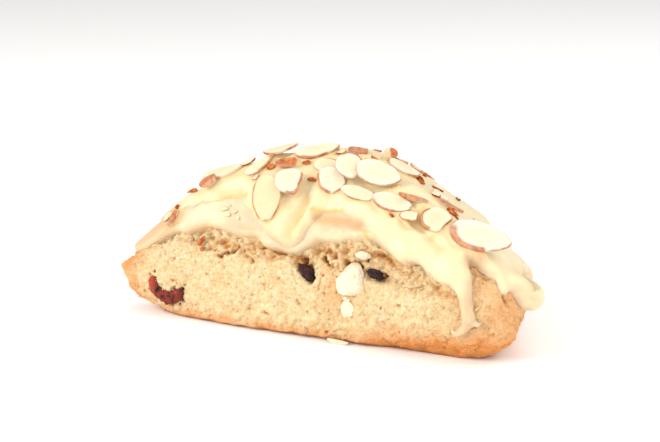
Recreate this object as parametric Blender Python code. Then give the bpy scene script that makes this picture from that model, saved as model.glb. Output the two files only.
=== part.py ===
# A wedge scone: coarse crumb, poured icing with a drip, almond slices, dried berries and white chips.
# Sizes are in millimetres and angles in degrees. The plan angle runs round the wedge from the rim end
# at 0; -90 is the long cut side and about -157 the tip. The origin is the middle of the footprint.
import random
from math import cos, hypot, pi, radians, sin

import bmesh
import bpy
import numpy as np
from mathutils import Matrix, Vector, noise
from mathutils.bvhtree import BVHTree

MM = 0.001

# Body of the scone
PLAN_CENTRE = (0.34, -6.7)
PLAN_SIDES = ((-90, 29.0), (135, 28.0), (5, 59.4), (30, 53.2), (55, 45.0))   # direction, distance
CORNER_POWER = 8          # higher makes the corners of the wedge sharper
CRUMB_HEIGHT = 47.3
BASE_LIFT = 0.9           # height of the browned lower edge above the table
BASE_INSET = 2.2
TUCK = {-168: 9, -158: 11, -150: 3.5, -140: 1, -125: 0.5, -90: 1, -60: 2, -35: 6, -15: 9, 20: 8, 60: 6,
        110: 4, 150: 6}
WAIST = {-160: 12, -125: 11, -90: 11, -60: 12, -35: 14, -10: 14, 20: 13, 60: 12, 110: 11, 150: 11}
LEAN = {-160: 4, -125: 4.5, -90: 5, -60: 5, -35: 4, -10: 4, 20: 5, 60: 5, 110: 5, 150: 5}
SHOULDER = {-160: 19, -125: 26.5, -90: 29, -60: 28, -35: 27, -10: 19, 20: 20, 60: 22, 110: 26, 150: 24}
DOME_POWER = {-160: 2.2, -125: 1.75, -90: 1.7, -60: 1.5, -35: 1.4, -10: 1.4, 20: 1.6, 60: 1.5, 110: 1.65,
              150: 1.8}
DOME_RADII = (0.85, 0.64, 0.42, 0.2, 0.0)                      # share of the shoulder's radius
PROFILE_KNOTS = (0, 3.2, 8, 15, 22, 29, 36, 46, 57, 67, 77)    # way along the profile, base to crown

# Facets of the shared surface
COLUMNS = 96
FRONT_DENSITY = 1.6       # the cut side has this many times the columns of the rest
SIDE_ROWS = 12
LIP_STEPS = (0.0, 0.9, 2.2, 4.4, 7.5)      # rows of the icing next to its edge, along the surface
TOP_ROWS = 7

# Crumb relief
LUMP = (17.0, 0.8)        # size and height of the broad lumps
GRAIN = (5.5, 0.5)        # size and height of the coarse crumb
CRACK_DEPTH = 1.3         # torn line just under the icing
CRACK_BELOW = 2.4
CRACK_HALF_WIDTH = 1.7
PITS = ((-143, 22.7, 1.7, 1.5), (-132, 24.0, 1.4, 1.0), (-121, 22.6, 1.9, 1.3), (-110, 21.5, 1.7, 1.2),
        (-84, 23.3, 1.8, 1.3), (-73, 23.6, 1.5, 1.0), (-47, 22.6, 2.0, 1.3), (-100, 9.0, 2.0, 0.7),
        (-128, 12.0, 1.8, 0.6), (40, 12.0, 2.4, 1.0), (75, 15.0, 2.2, 1.1), (112, 14.0, 2.4, 1.2),
        (140, 12.0, 2.0, 0.9), (-5, 10.5, 2.2, 0.9))           # angle, height, radius, depth
KNOBS = ((-156.5, 13.0, 4.5, 1.4), (-153.5, 21.6, 3.4, 0.9), (-147, 5.5, 6.0, 0.7), (-62, 5.0, 8.0, 0.6))

# Icing
ICING_GAP = 0.35
GLAZE_THICKNESS = 0.95    # the thin first coat
FLOW_THICKNESS = 2.6      # the thick second pour
FLOW_SWELL = 0.7          # slow change of its thickness
LIP_SHARE = (0.42, 0.8, 1.0)
GLAZE_EDGE = {-170: 19.5, -163: 18.0, -157: 18.5, -154: 19.4, -152.6: 24.6, -149.5: 25.1, -147.5: 27.2,
              -144: 27.5, -139: 26.9, -132: 26.6, -126: 27.0, -120: 25.0, -111: 24.8, -103: 24.3,
              -97.5: 25.2, -92.5: 27.2, -87: 28.4, -78: 28.4, -68: 29.5, -53: 30.2, -49: 28.3,
              -44.5: 25.8, -39.5: 26.0, -36.5: 22.8, -34: 21.6, -31.2: 20.8, -29: 26.8, -26.6: 26.6,
              -25.4: 25.0, -24.7: 24.6, -24.3: 20.6, -22.5: 21.3, -20: 20.6, -17.5: 17.2,
              -13: 15.4, -6: 16.2, 0: 18.2, 12: 15.2, 25: 17.8, 40: 15.0,
              52: 19.0, 66: 16.4, 80: 20.8, 96: 22.6, 108: 19.0, 122: 21.8, 136: 18.6, 150: 21.4,
              164: 17.8, 178: 20.6}
FLOW_EDGE = {-170: 23.0, -157: 26.5, -156: 29.0, -153.5: 33.0, -150: 35.0, -146: 35.6, -142: 34.0,
             -136: 32.0, -126: 29.2, -115: 27.0, -106: 25.6, -100: 27.8, -97: 31.6, -90: 34.4,
             -80: 34.6, -70: 34.4, -61: 33.6, -55: 32.4, -51: 29.4, -48: 24.0, -40: 15.0, 0: 10.0,
             90: 10.0, 150: 14.0, 178: 18.0}
# Folds of the pour, from the middle of the plan: both ends, half width, height; then dimples
FOLDS = ((-25.0, -19.4, -19.5, -12.9, 1.6, 1.2), (-16.0, -19.9, -7.5, -25.4, 2.2, 1.3),
         (-7.0, -23.4, 18.0, -21.9, 2.0, 0.9), (24.0, -23.4, 45.0, -23.4, 2.6, 0.8),
         (-39.0, -19.4, -28.0, -19.9, 2.0, 0.9), (19.0, 21.6, 33.0, 13.6, 2.6, 0.9),
         (-7.0, 29.6, 7.0, 23.6, 2.6, 0.9), (-35.0, 5.6, -21.0, 19.6, 2.4, 0.8),
         (59.0, -18.8, 60.8, -6.0, 3.1, 2.9))
DIMPLES = ((29.0, -20.0, 2.2, 1.1), (34.5, -21.9, 2.4, 1.3), (-30.0, -20.9, 3.0, 0.9))
# Runs of icing: angles at the top and at the foot, heights of both, half widths of both
DRIPS = ((-31.9, -31.9, 25.0, 7.6, 1.75, 2.7), (-31.6, -28.6, 19.0, 11.8, 1.2, 1.0),
         (-23.2, -24.2, 25.4, 21.2, 1.4, 0.8), (66, 66, 18.5, 8.6, 1.8, 2.5),
         (108, 107, 21.0, 12.0, 1.9, 2.4), (12, 13, 17.5, 9.4, 1.7, 2.3), (164, 163, 20.0, 12.6, 1.6, 2.1))
DRIP_THICKNESS = 1.6
DRIP_SIDES = 8
DRIP_RINGS = 9

# Almond slices: x and y from the middle of the plan, direction of the length, length, width, lean
# about the length, rise of the far end, and how much is left of a broken one (1 is whole)
SLICE_THICKNESS = 1.05
SLICE_POINTS = 12
SLICE_GAP = 0.36
DROP_HEIGHT = 9.0
DROP_STEP = 0.1
SLICES = (
    (-34.4, -15.0, 6, 13.0, 6.5, 8, -8, 1.0), (-36.6, -18.7, 14, 7.2, 3.2, -8, 0, 0.75),
    (-16.6, -21.2, -62, 15.5, 9.2, 4, 0, 0.92), (-22.8, -14.2, 38, 9.8, 3.4, 10, 6, 1.0),
    (-14.6, -12.4, 20, 7.6, 3.6, 0, 3, 0.8), (-9.6, -17.2, 8, 12.0, 8.4, -2, 0, 0.62),
    (-3.2, -10.4, 12, 7.8, 4.6, 2, 0, 0.9), (1.0, -15.0, -30, 11.4, 7.2, 0, 0, 0.8),
    (5.4, -11.4, -40, 11.4, 7.8, 2, 0, 0.9), (10.4, -17.2, 6, 11.6, 3.8, 0, 0, 0.85),
    (13.6, -12.8, 8, 13.4, 8.4, 6, 0, 1.0), (21.2, -18.4, 0, 12.8, 5.4, 0, 0, 0.9),
    (25.8, -17.4, 26, 8.6, 2.0, 8, 2, 1.0), (-18.8, -8.4, 22, 11.0, 6.0, 0, 0, 1.0),
    (-8.2, -6.6, 24, 13.4, 6.2, -2, 5, 1.0), (3.2, -2.0, 24, 7.0, 4.0, -4, 0, 0.8),
    (9.4, -7.2, 0, 6.0, 2.8, 10, 0, 1.0), (11.6, -1.4, 20, 4.8, 5.0, 62, -20, 0.8),
    (17.2, -3.4, 4, 11.0, 5.2, 12, 3, 0.9), (29.0, -3.6, 14, 6.4, 5.4, 0, 0, 0.8),
    (33.6, -9.0, 14, 7.6, 2.6, 8, 8, 1.0), (35.0, -19.8, -12, 10.4, 8.2, 4, 0, 0.72),
    (46.0, -20.6, 12, 17.4, 9.8, 26, 14, 1.0), (27.8, -21.0, 8, 7.2, 2.8, 8, 0, 0.7),
    (-47.0, -23.4, 60, 6.4, 2.2, -14, 0, 0.8))
BACK_SLICES = 11          # more of the same, drawn at random behind the crown
BACK_AREA = ((-27, 15), (16.0, 29.6))
BACK_SPACING = 5.5
BACK_DRAWS = 400
BACK_SEED = 4

# Fruit and chips in the cut faces: angle, height, half depth in the crumb, then the lie of each piece
# as points (along, up, radius) on the face
FRUIT = {
    "cranberry_front": (-148.4, 8.8, 0.4, ((-4.4, 3.4, 1.9), (-4.2, 0.2, 2.2), (-1.2, -2.4, 2.3),
                                           (2.6, -2.4, 2.2), (4.9, 0.2, 1.9))),
    "berry_centre": (-92.5, 19.2, 0.9, ((-2.4, 1.8, 1.5), (-0.6, 0.4, 2.0), (1.4, -1.4, 1.6))),
    "berry_right": (-54.8, 21.6, 0.6, ((-2.0, 0.4, 1.2), (0.0, 0.2, 1.6), (2.3, -0.5, 1.2))),
    "berry_back": (92.0, 13.0, 0.8, ((-2.6, 1.2, 1.7), (0.0, 0.0, 2.3), (2.6, -0.6, 1.8))),
}
CHIPS = {
    "white_chip_large": (-67.4, 19.2, 0.9, (4.5, 2.8, 4.9), 3),
    "white_chip_small": (-60.0, 26.2, 0.7, (2.5, 1.7, 1.3), 8),
    "white_chip_back": (128.0, 13.5, 1.0, (4.0, 2.4, 3.4), 5),
}
SOCKET_GAP = 0.4
FRUIT_SIDES = 8
FRUIT_STEPS = 3

COLOURS = {"crumb": (0.80, 0.56, 0.27), "icing": (0.98, 0.93, 0.66), "almond": (0.97, 0.91, 0.76),
           "berry": (0.22, 0.03, 0.03), "chip": (0.97, 0.93, 0.82)}
ROUGHNESS = {"crumb": 0.9, "icing": 0.35, "almond": 0.55, "berry": 0.35, "chip": 0.45}


def clear_scene():
    for obj in list(bpy.data.objects):
        bpy.data.objects.remove(obj, do_unlink=True)


def make_material(name):
    material = bpy.data.materials.new(name)
    material.use_nodes = True
    shader = material.node_tree.nodes["Principled BSDF"]
    shader.inputs["Base Color"].default_value = (*COLOURS[name], 1.0)
    shader.inputs["Roughness"].default_value = ROUGHNESS[name]
    shader.inputs["Metallic"].default_value = 0.0
    return material


def make_object(name, points, faces, material, smooth_angle=None):
    """A named mesh object from points in millimetres."""
    mesh = bpy.data.meshes.new(name)
    mesh.from_pydata([tuple(c * MM for c in p) for p in points], [], faces)
    mesh.materials.append(material)
    mesh.validate()
    mesh.shade_smooth()
    if smooth_angle:
        mesh.set_sharp_from_angle(angle=radians(smooth_angle))
    obj = bpy.data.objects.new(name, mesh)
    bpy.context.collection.objects.link(obj)
    return obj


def smooth_step(value, low, high):
    share = np.clip((value - low) / (high - low), 0.0, 1.0)
    return share * share * (3 - 2 * share)


def ring(values, angle):
    """Smooth closed curve through {angle: value}, read at angles in radians."""
    keys = sorted((key % 360, value) for key, value in values.items())
    place = np.array([key for key, _ in keys], float)
    height = np.array([value for _, value in keys], float)
    count = len(keys)
    degrees = np.degrees(angle) % 360
    low = (np.searchsorted(place, degrees, side="right") - 1) % count
    at = lambda shift: (low + shift) % count
    span = (place[at(1)] - place[at(0)]) % 360
    before = (place[at(0)] - place[at(-1)]) % 360
    after = (place[at(2)] - place[at(1)]) % 360
    share = ((degrees - place[at(0)]) % 360) / span
    slope_in = (height[at(1)] - height[at(-1)]) / (before + span) * span
    slope_out = (height[at(2)] - height[at(0)]) / (span + after) * span
    return hermite_blend(share, height[at(0)], slope_in, height[at(1)], slope_out)


def hermite_blend(share, start, slope_in, end, slope_out):
    square, cube = share ** 2, share ** 3
    return ((2 * cube - 3 * square + 1) * start + (cube - 2 * square + share) * slope_in
            + (3 * square - 2 * cube) * end + (cube - square) * slope_out)


def plan_radius(angle):
    """Distance from the plan's centre to the rounded wedge at the shoulder."""
    total = 0
    for direction, distance in PLAN_SIDES:
        total = total + np.maximum(0, np.cos(angle - radians(direction)) / distance) ** CORNER_POWER
    return total ** (-1 / CORNER_POWER)


def profile_controls(angle):
    """Radius share and height of the profile at each knot, from the base to the crown."""
    radius = plan_radius(angle)
    tuck, waist, lean, shoulder, power = (ring(table, angle) for table in
                                          (TUCK, WAIST, LEAN, SHOULDER, DOME_POWER))
    top = 1 - lean / radius
    shares = [(radius - tuck - BASE_INSET) / radius, (radius - tuck) / radius, 1 - 0.3 * tuck / radius,
              1 + 0 * radius, 1 - 0.3 * lean / radius, top]
    heights = [0 * radius, BASE_LIFT + 0 * radius, waist * 0.42, waist,
               waist + (shoulder - waist) * 0.55, shoulder]
    for share in DOME_RADII:
        shares.append(top * share)
        heights.append(shoulder + (CRUMB_HEIGHT - shoulder) * (1 - share ** power))
    return radius, np.stack(shares), np.stack(heights)


def along_profile(control, way):
    """Smooth curve through the profile's knots; way runs from 0 at the base to 1 at the crown."""
    knots = np.array(PROFILE_KNOTS, float) / PROFILE_KNOTS[-1]
    last = len(knots) - 1
    low = np.clip(np.searchsorted(knots, way, side="right") - 1, 0, last - 1)
    column = np.arange(control.shape[1])
    value = lambda index: control[np.clip(index, 0, last), column]
    knot = lambda index: knots[np.clip(index, 0, last)]
    span = knot(low + 1) - knot(low)
    chord = value(low + 1) - value(low)
    slope_in = np.where(low > 0, (value(low + 1) - value(low - 1)) * span
                        / (knot(low + 1) - knot(low - 1)), chord)
    slope_out = np.where(low + 2 <= last, (value(low + 2) - value(low)) * span
                         / (knot(low + 2) - knot(low)), chord)
    return hermite_blend((way - knot(low)) / span, value(low), slope_in, value(low + 1), slope_out)


def body_points(angle, way):
    """Points of the smooth body, as an array of x, y, z."""
    angle, way = np.broadcast_arrays(np.atleast_1d(angle), np.atleast_1d(way))
    flat, share_of_way = angle.ravel(), way.ravel()
    radius, shares, heights = profile_controls(flat)
    share, height = along_profile(shares, share_of_way), along_profile(heights, share_of_way)
    points = np.stack([PLAN_CENTRE[0] + radius * share * np.cos(flat),
                       PLAN_CENTRE[1] + radius * share * np.sin(flat), height], -1)
    return points.reshape(*angle.shape, 3)


def body_normals(angle, way):
    """Outward unit normals of the smooth body."""
    step = 1e-3
    round_about = body_points(angle + step, way) - body_points(angle - step, way)
    upwards = body_points(angle, np.minimum(way + step, 1.0)) - body_points(angle, way - step)
    normal = np.cross(round_about, upwards)
    length = np.linalg.norm(normal, axis=-1, keepdims=True)
    normal = normal / np.maximum(length, 1e-12)
    normal[length[..., 0] < 1e-9] = (0, 0, 1)
    return normal


def way_at_height(angle, height):
    """Way along the profile at which the side of the body reaches a height."""
    ways = np.linspace(0.03, 0.95, 200)
    column = body_points(np.full_like(ways, angle), ways)[:, 2]
    return float(np.interp(height, np.maximum.accumulate(column), ways))


def way_lengths(angle, first, last, samples=60):
    """Ways from first to last, with the distance walked along the profile at each."""
    ways = np.linspace(first, last, samples)
    points = body_points(np.full_like(ways, angle), ways)
    steps = np.linalg.norm(np.diff(points, axis=0), axis=1)
    return ways, np.concatenate([[0], np.cumsum(steps)])


def column_angles():
    """Plan angles of the columns, evenly spaced round the plan and closer on the cut side."""
    angles = np.linspace(-pi, pi, 3601)
    radius = plan_radius(angles)
    corners = np.stack([radius * np.cos(angles), radius * np.sin(angles)], -1)
    steps = np.linalg.norm(np.diff(corners, axis=0), axis=1)
    middle = np.degrees((angles[1:] + angles[:-1]) / 2)
    front = smooth_step(middle, -166, -158) * (1 - smooth_step(middle, -12, -2))
    walked = np.concatenate([[0], np.cumsum(steps * (1 + (FRONT_DENSITY - 1) * front))])
    wanted = np.arange(COLUMNS) / COLUMNS * walked[-1]
    return np.interp(wanted, walked, angles)


def grid_ways(angles):
    """Ways of the rows: SIDE_ROWS below the edge of the icing, then the lip and the top."""
    table = []
    edge_heights = ring(GLAZE_EDGE, angles)
    for angle, edge_height in zip(angles, edge_heights):
        edge = way_at_height(angle, edge_height)
        ways, walked = way_lengths(angle, 0.0, edge)
        below = np.interp(np.linspace(0, walked[-1], SIDE_ROWS + 1)[:-1], walked, ways)
        ways, walked = way_lengths(angle, edge, 1.0)
        stops = list(LIP_STEPS)
        stops += list(np.linspace(LIP_STEPS[-1], walked[-1], TOP_ROWS + 1)[1:])
        table.append(np.concatenate([below, np.interp(stops, walked, ways)]))
    return np.array(table)


def layered_noise(point, size, seed):
    spot = Vector(point) / size + Vector((seed, seed * 1.7, seed * 2.3))
    return noise.noise(spot) + 0.5 * noise.noise(spot * 2.1)


def bump(distance, radius):
    return np.maximum(0.0, 1 - (distance / radius) ** 2) ** 2


def crumb_relief(points, angles, edge_heights):
    """Outward shift of each side point: lumps, grain, the torn line, pits and knobs."""
    shift = np.zeros(points.shape[:2])
    for column, angle in enumerate(angles):
        for row in range(1, SIDE_ROWS):
            point = points[column, row]
            fade = float(smooth_step(point[2], 0.0, 3.0)
                         * smooth_step(edge_heights[column] - point[2], 0.0, 1.5))
            lumps = LUMP[1] * layered_noise(point, LUMP[0], 3.1)
            lumps += GRAIN[1] * layered_noise(point, GRAIN[0], 7.7)
            below = edge_heights[column] - CRACK_BELOW + layered_noise(point, 6.0, 5.0) - point[2]
            torn = CRACK_DEPTH * (0.6 + 0.8 * layered_noise(point, 9.0, 1.3))
            shift[column, row] = fade * (lumps - max(0.0, torn) * bump(below, CRACK_HALF_WIDTH))
    side = slice(1, SIDE_ROWS)
    for marks, sign in ((PITS, -1), (KNOBS, 1)):
        for angle, height, radius, size in marks:
            centre = body_points(radians(angle), way_at_height(radians(angle), height))[0]
            away = np.linalg.norm(points[:, side] - centre, axis=-1)
            shift[:, side] += sign * size * bump(away, radius)
    return shift


def fold_height(x, y):
    """Height of the folds and depth of the dimples of the icing at a point of the plan."""
    total = 0.0
    for x1, y1, x2, y2, half_width, height in FOLDS:
        length = hypot(x2 - x1, y2 - y1)
        share = ((x - x1) * (x2 - x1) + (y - y1) * (y2 - y1)) / length ** 2
        share = min(1.0, max(0.0, share))
        away = hypot(x - x1 - share * (x2 - x1), y - y1 - share * (y2 - y1))
        total += height * float(bump(away, 2 * half_width))
    for x0, y0, radius, depth in DIMPLES:
        total -= depth * float(bump(hypot(x - x0, y - y0), 1.6 * radius))
    return total


def icing_thickness(point, row_above_edge, flow_height):
    """Thickness of the icing at a point of the crumb."""
    flow = float(smooth_step(point[2], flow_height - 0.4, flow_height + 1.8))
    thick = FLOW_THICKNESS + FLOW_SWELL * layered_noise(point, 19.0, 9.4)
    thick += fold_height(point[0] - PLAN_CENTRE[0], point[1] - PLAN_CENTRE[1])
    thickness = GLAZE_THICKNESS + (max(1.3, thick) - GLAZE_THICKNESS) * flow
    if row_above_edge < len(LIP_SHARE):
        thickness *= LIP_SHARE[row_above_edge]
    return max(0.6, thickness)


def grid_faces(columns, rows, offset, flip=False):
    """Triangles of a closed band of points stored column by column."""
    faces = []
    for column in range(columns):
        following = (column + 1) % columns
        for row in range(rows - 1):
            a, b = offset + column * rows + row, offset + following * rows + row
            quad = (a, b, b + 1, a + 1)
            halves = ((quad[0], quad[1], quad[2]), (quad[0], quad[2], quad[3]))
            faces += [half[::-1] for half in halves] if flip else list(halves)
    return faces


def make_crumb(points, material):
    """The baked dough: the grid below and above the icing's edge, closed by its flat base."""
    columns, rows = points.shape[0], points.shape[1] - 1
    verts = [tuple(points[column, row]) for column in range(columns) for row in range(rows)]
    faces = grid_faces(columns, rows, 0)
    crown, foot = len(verts), len(verts) + 1
    verts += [tuple(points[0, -1]), (PLAN_CENTRE[0], PLAN_CENTRE[1], 0.0)]
    for column in range(columns):
        here, following = column * rows, (column + 1) % columns * rows
        faces.append((here + rows - 1, following + rows - 1, crown))
        faces.append((following, here, foot))
    return make_object("scone", verts, faces, material)


def make_icing(points, normals, angles, material):
    """A skin on the same grid, from its edge up to the crown."""
    flow_heights = ring(FLOW_EDGE, angles)
    columns, rows = points.shape[0], points.shape[1] - 1 - SIDE_ROWS
    inner, outer = [], []
    for column in range(columns):
        for row in range(rows):
            point, normal = points[column, SIDE_ROWS + row], normals[column, SIDE_ROWS + row]
            thickness = icing_thickness(point, row, flow_heights[column])
            inner.append(tuple(point + normal * ICING_GAP))
            outer.append(tuple(point + normal * (ICING_GAP + thickness)))
    verts = inner + outer
    start = len(inner)
    faces = grid_faces(columns, rows, 0, flip=True) + grid_faces(columns, rows, start)
    crown_in, crown_out = len(verts), len(verts) + 1
    verts += [(*points[0, -1][:2], points[0, -1][2] + ICING_GAP),
              (*points[0, -1][:2], points[0, -1][2] + ICING_GAP + FLOW_THICKNESS)]
    for column in range(columns):
        here, following = column * rows, (column + 1) % columns * rows
        faces.append((following + rows - 1, here + rows - 1, crown_in))
        faces.append((start + here + rows - 1, start + following + rows - 1, crown_out))
        faces.append((here, following, start + following))
        faces.append((here, start + following, start + here))
    return make_object("icing", verts, faces, material)


def solid_tree(obj):
    """Search tree of an object's evaluated triangles, in millimetres."""
    shape = obj.evaluated_get(bpy.context.evaluated_depsgraph_get()).to_mesh()
    verts = [vertex.co / MM for vertex in shape.vertices]
    tree = BVHTree.FromPolygons(verts, [tuple(face.vertices) for face in shape.polygons])
    return tree, verts


def tube_faces(rings, sides):
    """Faces of a closed tube of rings, with a point at each end stored last."""
    faces = []
    for index in range(rings - 1):
        for side in range(sides):
            a, b = index * sides + side, index * sides + (side + 1) % sides
            faces.append((a, b, b + sides, a + sides))
    first, last = rings * sides, rings * sides + 1
    for side in range(sides):
        following = (side + 1) % sides
        faces.append((following, side, first))
        faces.append(((rings - 1) * sides + side, (rings - 1) * sides + following, last))
    return faces


def make_drip(index, drip, crumb_tree, material):
    """One run of icing down the side, thinnest in its middle and full at its foot."""
    top_angle, foot_angle, top, foot, half_width, foot_width = drip
    verts = []
    for ring_index in range(DRIP_RINGS + 2):
        share = min(1.0, max(0.0, (ring_index - 0.5) / (DRIP_RINGS - 0.5)))
        height = top + (foot - top) * share
        sway = 0.25 * sin(5.0 * share + index)
        turned = radians(top_angle + (foot_angle - top_angle) * share + sway)
        way = way_at_height(turned, height)
        centre, normal = body_points(turned, way)[0], body_normals(turned, way)[0]
        across = np.cross((0, 0, 1), normal)
        across = across / np.linalg.norm(across)
        width = half_width * (1.25 - 0.45 * sin(pi * min(1.0, share * 1.2)))
        width += (foot_width - half_width) * float(smooth_step(share, 0.72, 0.93))
        rounding = (1 - max(0.0, (share - 0.9) / 0.1) ** 2 * 0.55) * (0.6 if share == 0 else 1.0)
        depth = DRIP_THICKNESS * (0.75 + 0.5 * float(smooth_step(share, 0.7, 0.95)))
        if ring_index in (0, DRIP_RINGS + 1):
            verts.append(tuple(centre + normal * (ICING_GAP + depth * 0.5)))
            continue
        for side in range(DRIP_SIDES):
            turn = 2 * pi * side / DRIP_SIDES
            out = ICING_GAP + 0.1 + depth * 0.5 * (1 + sin(turn)) * rounding
            point = centre + across * width * cos(turn) * rounding + normal * out
            verts.append(tuple(point))
    ends = [verts.pop(0), verts.pop(-1)]
    faces = [face[::-1] for face in tube_faces(DRIP_RINGS, DRIP_SIDES)]
    verts = [clear_of(Vector(vert), crumb_tree, ICING_GAP + 0.1) for vert in verts + ends]
    return make_object(f"drip_{index}", verts, faces, material)


def clear_of(point, tree, gap):
    """The point, moved out where it is nearer than gap to the outside of a solid."""
    nearest, normal, _, _ = tree.find_nearest(point)
    depth = (point - nearest).dot(normal)
    return point + normal * max(0.0, gap - depth)


def join_into(target, others):
    """Boolean union of the others with the target, applied, and the others removed."""
    group = bpy.data.collections.new("to_join")
    bpy.context.scene.collection.children.link(group)
    for obj in others:
        group.objects.link(obj)
    union = target.modifiers.new("join", "BOOLEAN")
    union.operation = "UNION"
    union.solver = "EXACT"
    union.operand_type = "COLLECTION"
    union.collection = group
    joined = bpy.data.meshes.new_from_object(
        target.evaluated_get(bpy.context.evaluated_depsgraph_get()))
    target.modifiers.clear()
    target.data = joined
    for obj in others:
        bpy.data.objects.remove(obj, do_unlink=True)
    bpy.data.collections.remove(group)


def slice_outline(length, width, kept):
    """Plan of an almond slice: an oval drawn to a point, cut straight where it is broken."""
    outline = []
    for index in range(SLICE_POINTS):
        turn = 2 * pi * index / SLICE_POINTS
        x = cos(turn)
        y = sin(turn) * (1 - 0.22 * x) * (1 - 0.12 * x * x)
        limit = 2 * kept - 1
        if x > limit:
            x = limit + 0.10 * (x - limit) * (1 if y > 0 else 0.4)
        outline.append((x * length / 2, y * width / 2))
    return outline


def slice_solid(length, width, kept):
    """Points and faces of one slice lying flat, slightly dished."""
    outline = slice_outline(length, width, kept)
    bow = 0.04 * length
    dish = lambda x, y: bow * ((2 * x / length) ** 2 - 0.4)
    half = SLICE_THICKNESS / 2
    verts = [(x, y, dish(x, y) - half) for x, y in outline]
    verts += [(x * 0.96, y * 0.94, dish(x, y) + half) for x, y in outline]
    middle = sum(x for x, _ in outline) / len(outline)
    verts += [(middle, 0, dish(middle, 0) - half), (middle, 0, dish(middle, 0) + half)]
    count = len(outline)
    faces = []
    for index in range(count):
        following = (index + 1) % count
        faces.append((following, index, 2 * count))
        faces.append((index + count, following + count, 2 * count + 1))
        faces.append((index, following, following + count))
        faces.append((index, following + count, index + count))
    return verts, faces


class Pile:
    """The icing and the slices that already lie on it."""

    def __init__(self, tree, verts):
        self.layers = [(tree, verts)]

    def height(self, x, y):
        above = Vector((x, y, 200.0))
        heights = [tree.ray_cast(above, Vector((0, 0, -1)))[0] for tree, _ in self.layers]
        found = [hit.z for hit in heights if hit]
        return max(found) if found else None

    def near(self, verts, faces):
        """Smallest distance from a new solid to the pile, or 0 where they cross."""
        tree = BVHTree.FromPolygons(verts, faces)
        low, high = Vector(map(min, zip(*verts))), Vector(map(max, zip(*verts)))
        smallest = 9.0
        for other, other_verts in self.layers:
            if tree.overlap(other):
                return 0.0
            for vert in verts:
                smallest = min(smallest, other.find_nearest(vert, 2.0)[3] or 9.0)
            for vert in other_verts:
                if all(low[axis] - 1 < vert[axis] < high[axis] + 1 for axis in range(3)):
                    smallest = min(smallest, tree.find_nearest(vert, 2.0)[3] or 9.0)
        return smallest

    def add(self, verts, faces):
        self.layers.append((BVHTree.FromPolygons(verts, faces), verts))


def resting_frame(pile, x, y, direction, length, width):
    """Frame of the plane that best fits what lies under a slice, its X along the length."""
    along = Vector((cos(radians(direction)), sin(radians(direction)), 0))
    across = Vector((-along.y, along.x, 0))
    rows = []
    for u in np.linspace(-0.4, 0.4, 7):
        for w in np.linspace(-0.35, 0.35, 5):
            spot = Vector((x, y, 0)) + along * u * length + across * w * width
            height = pile.height(spot.x, spot.y)
            if height is not None:
                rows.append((u * length, w * width, height))
    table = np.array(rows)
    design = np.column_stack([table[:, 0], table[:, 1], np.ones(len(table))])
    rise, side, level = np.linalg.lstsq(design, table[:, 2], rcond=None)[0]
    axis_x = (along + Vector((0, 0, rise))).normalized()
    axis_y = (across + Vector((0, 0, side)))
    axis_z = axis_x.cross(axis_y).normalized()
    axis_y = axis_z.cross(axis_x)
    basis = Matrix((axis_x, axis_y, axis_z)).transposed()
    return basis, Vector((x, y, level))


def lay_slice(name, entry, pile, material):
    """Lay one slice on the pile, lowered until it nearly touches."""
    x, y, direction, length, width, lean, rise, kept = entry
    x, y = x + PLAN_CENTRE[0], y + PLAN_CENTRE[1]
    basis, spot = resting_frame(pile, x, y, direction, length, width)
    turn = basis @ Matrix.Rotation(radians(-rise), 3, "Y") @ Matrix.Rotation(radians(lean), 3, "X")
    local, faces = slice_solid(length, width, kept)
    shape = [turn @ Vector(vert) for vert in local]
    outwards = basis.col[2]
    placed = lambda lift: [spot + vert + outwards * lift for vert in shape]
    lift = DROP_HEIGHT
    while pile.near(placed(lift - DROP_STEP), faces) >= SLICE_GAP:
        lift -= DROP_STEP
    verts = placed(lift)
    pile.add(verts, faces)
    return make_object(name, verts, faces, material, smooth_angle=40)


def back_slices():
    """Further slices behind the crown, like those in front of it."""
    draw = random.Random(BACK_SEED)
    entries = []
    for _ in range(BACK_DRAWS):
        x, y = draw.uniform(*BACK_AREA[0]), draw.uniform(*BACK_AREA[1])
        clear = all(hypot(x - other[0], y - other[1]) > BACK_SPACING for other in entries)
        inside = 17.5 + 0.35 * max(0, x) < y < 30 - 0.35 * abs(x + 2)
        if not (clear and inside) or len(entries) == BACK_SLICES:
            continue
        length = draw.uniform(8.0, 13.5)
        kept = draw.choice((1.0, 1.0, 0.85, 0.7))
        entries.append((x, y, draw.uniform(-80, 80), length, length * draw.uniform(0.5, 0.68),
                        draw.uniform(-5, 5), draw.uniform(-3, 3), kept))
    return entries


def face_frame(angle, height):
    """Point on the body's side with its outward, sideways and upward directions."""
    way = way_at_height(radians(angle), height)
    centre = Vector(body_points(radians(angle), way)[0])
    out = Vector(body_normals(radians(angle), way)[0])
    side = Vector((0, 0, 1)).cross(out).normalized()
    return centre, out, side, out.cross(side)


def curve_through(knots, steps):
    """Points of a smooth curve through a few knots, steps to each span."""
    table = np.array(knots, float)
    last = len(table) - 1
    line = []
    for index in range(last):
        start, end = table[index], table[index + 1]
        slope_in = (end - table[max(0, index - 1)]) / 2
        slope_out = (table[min(last, index + 2)] - start) / 2
        line += [hermite_blend(step / steps, start, slope_in, end, slope_out) for step in range(steps)]
    return line + [table[-1]]


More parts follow.
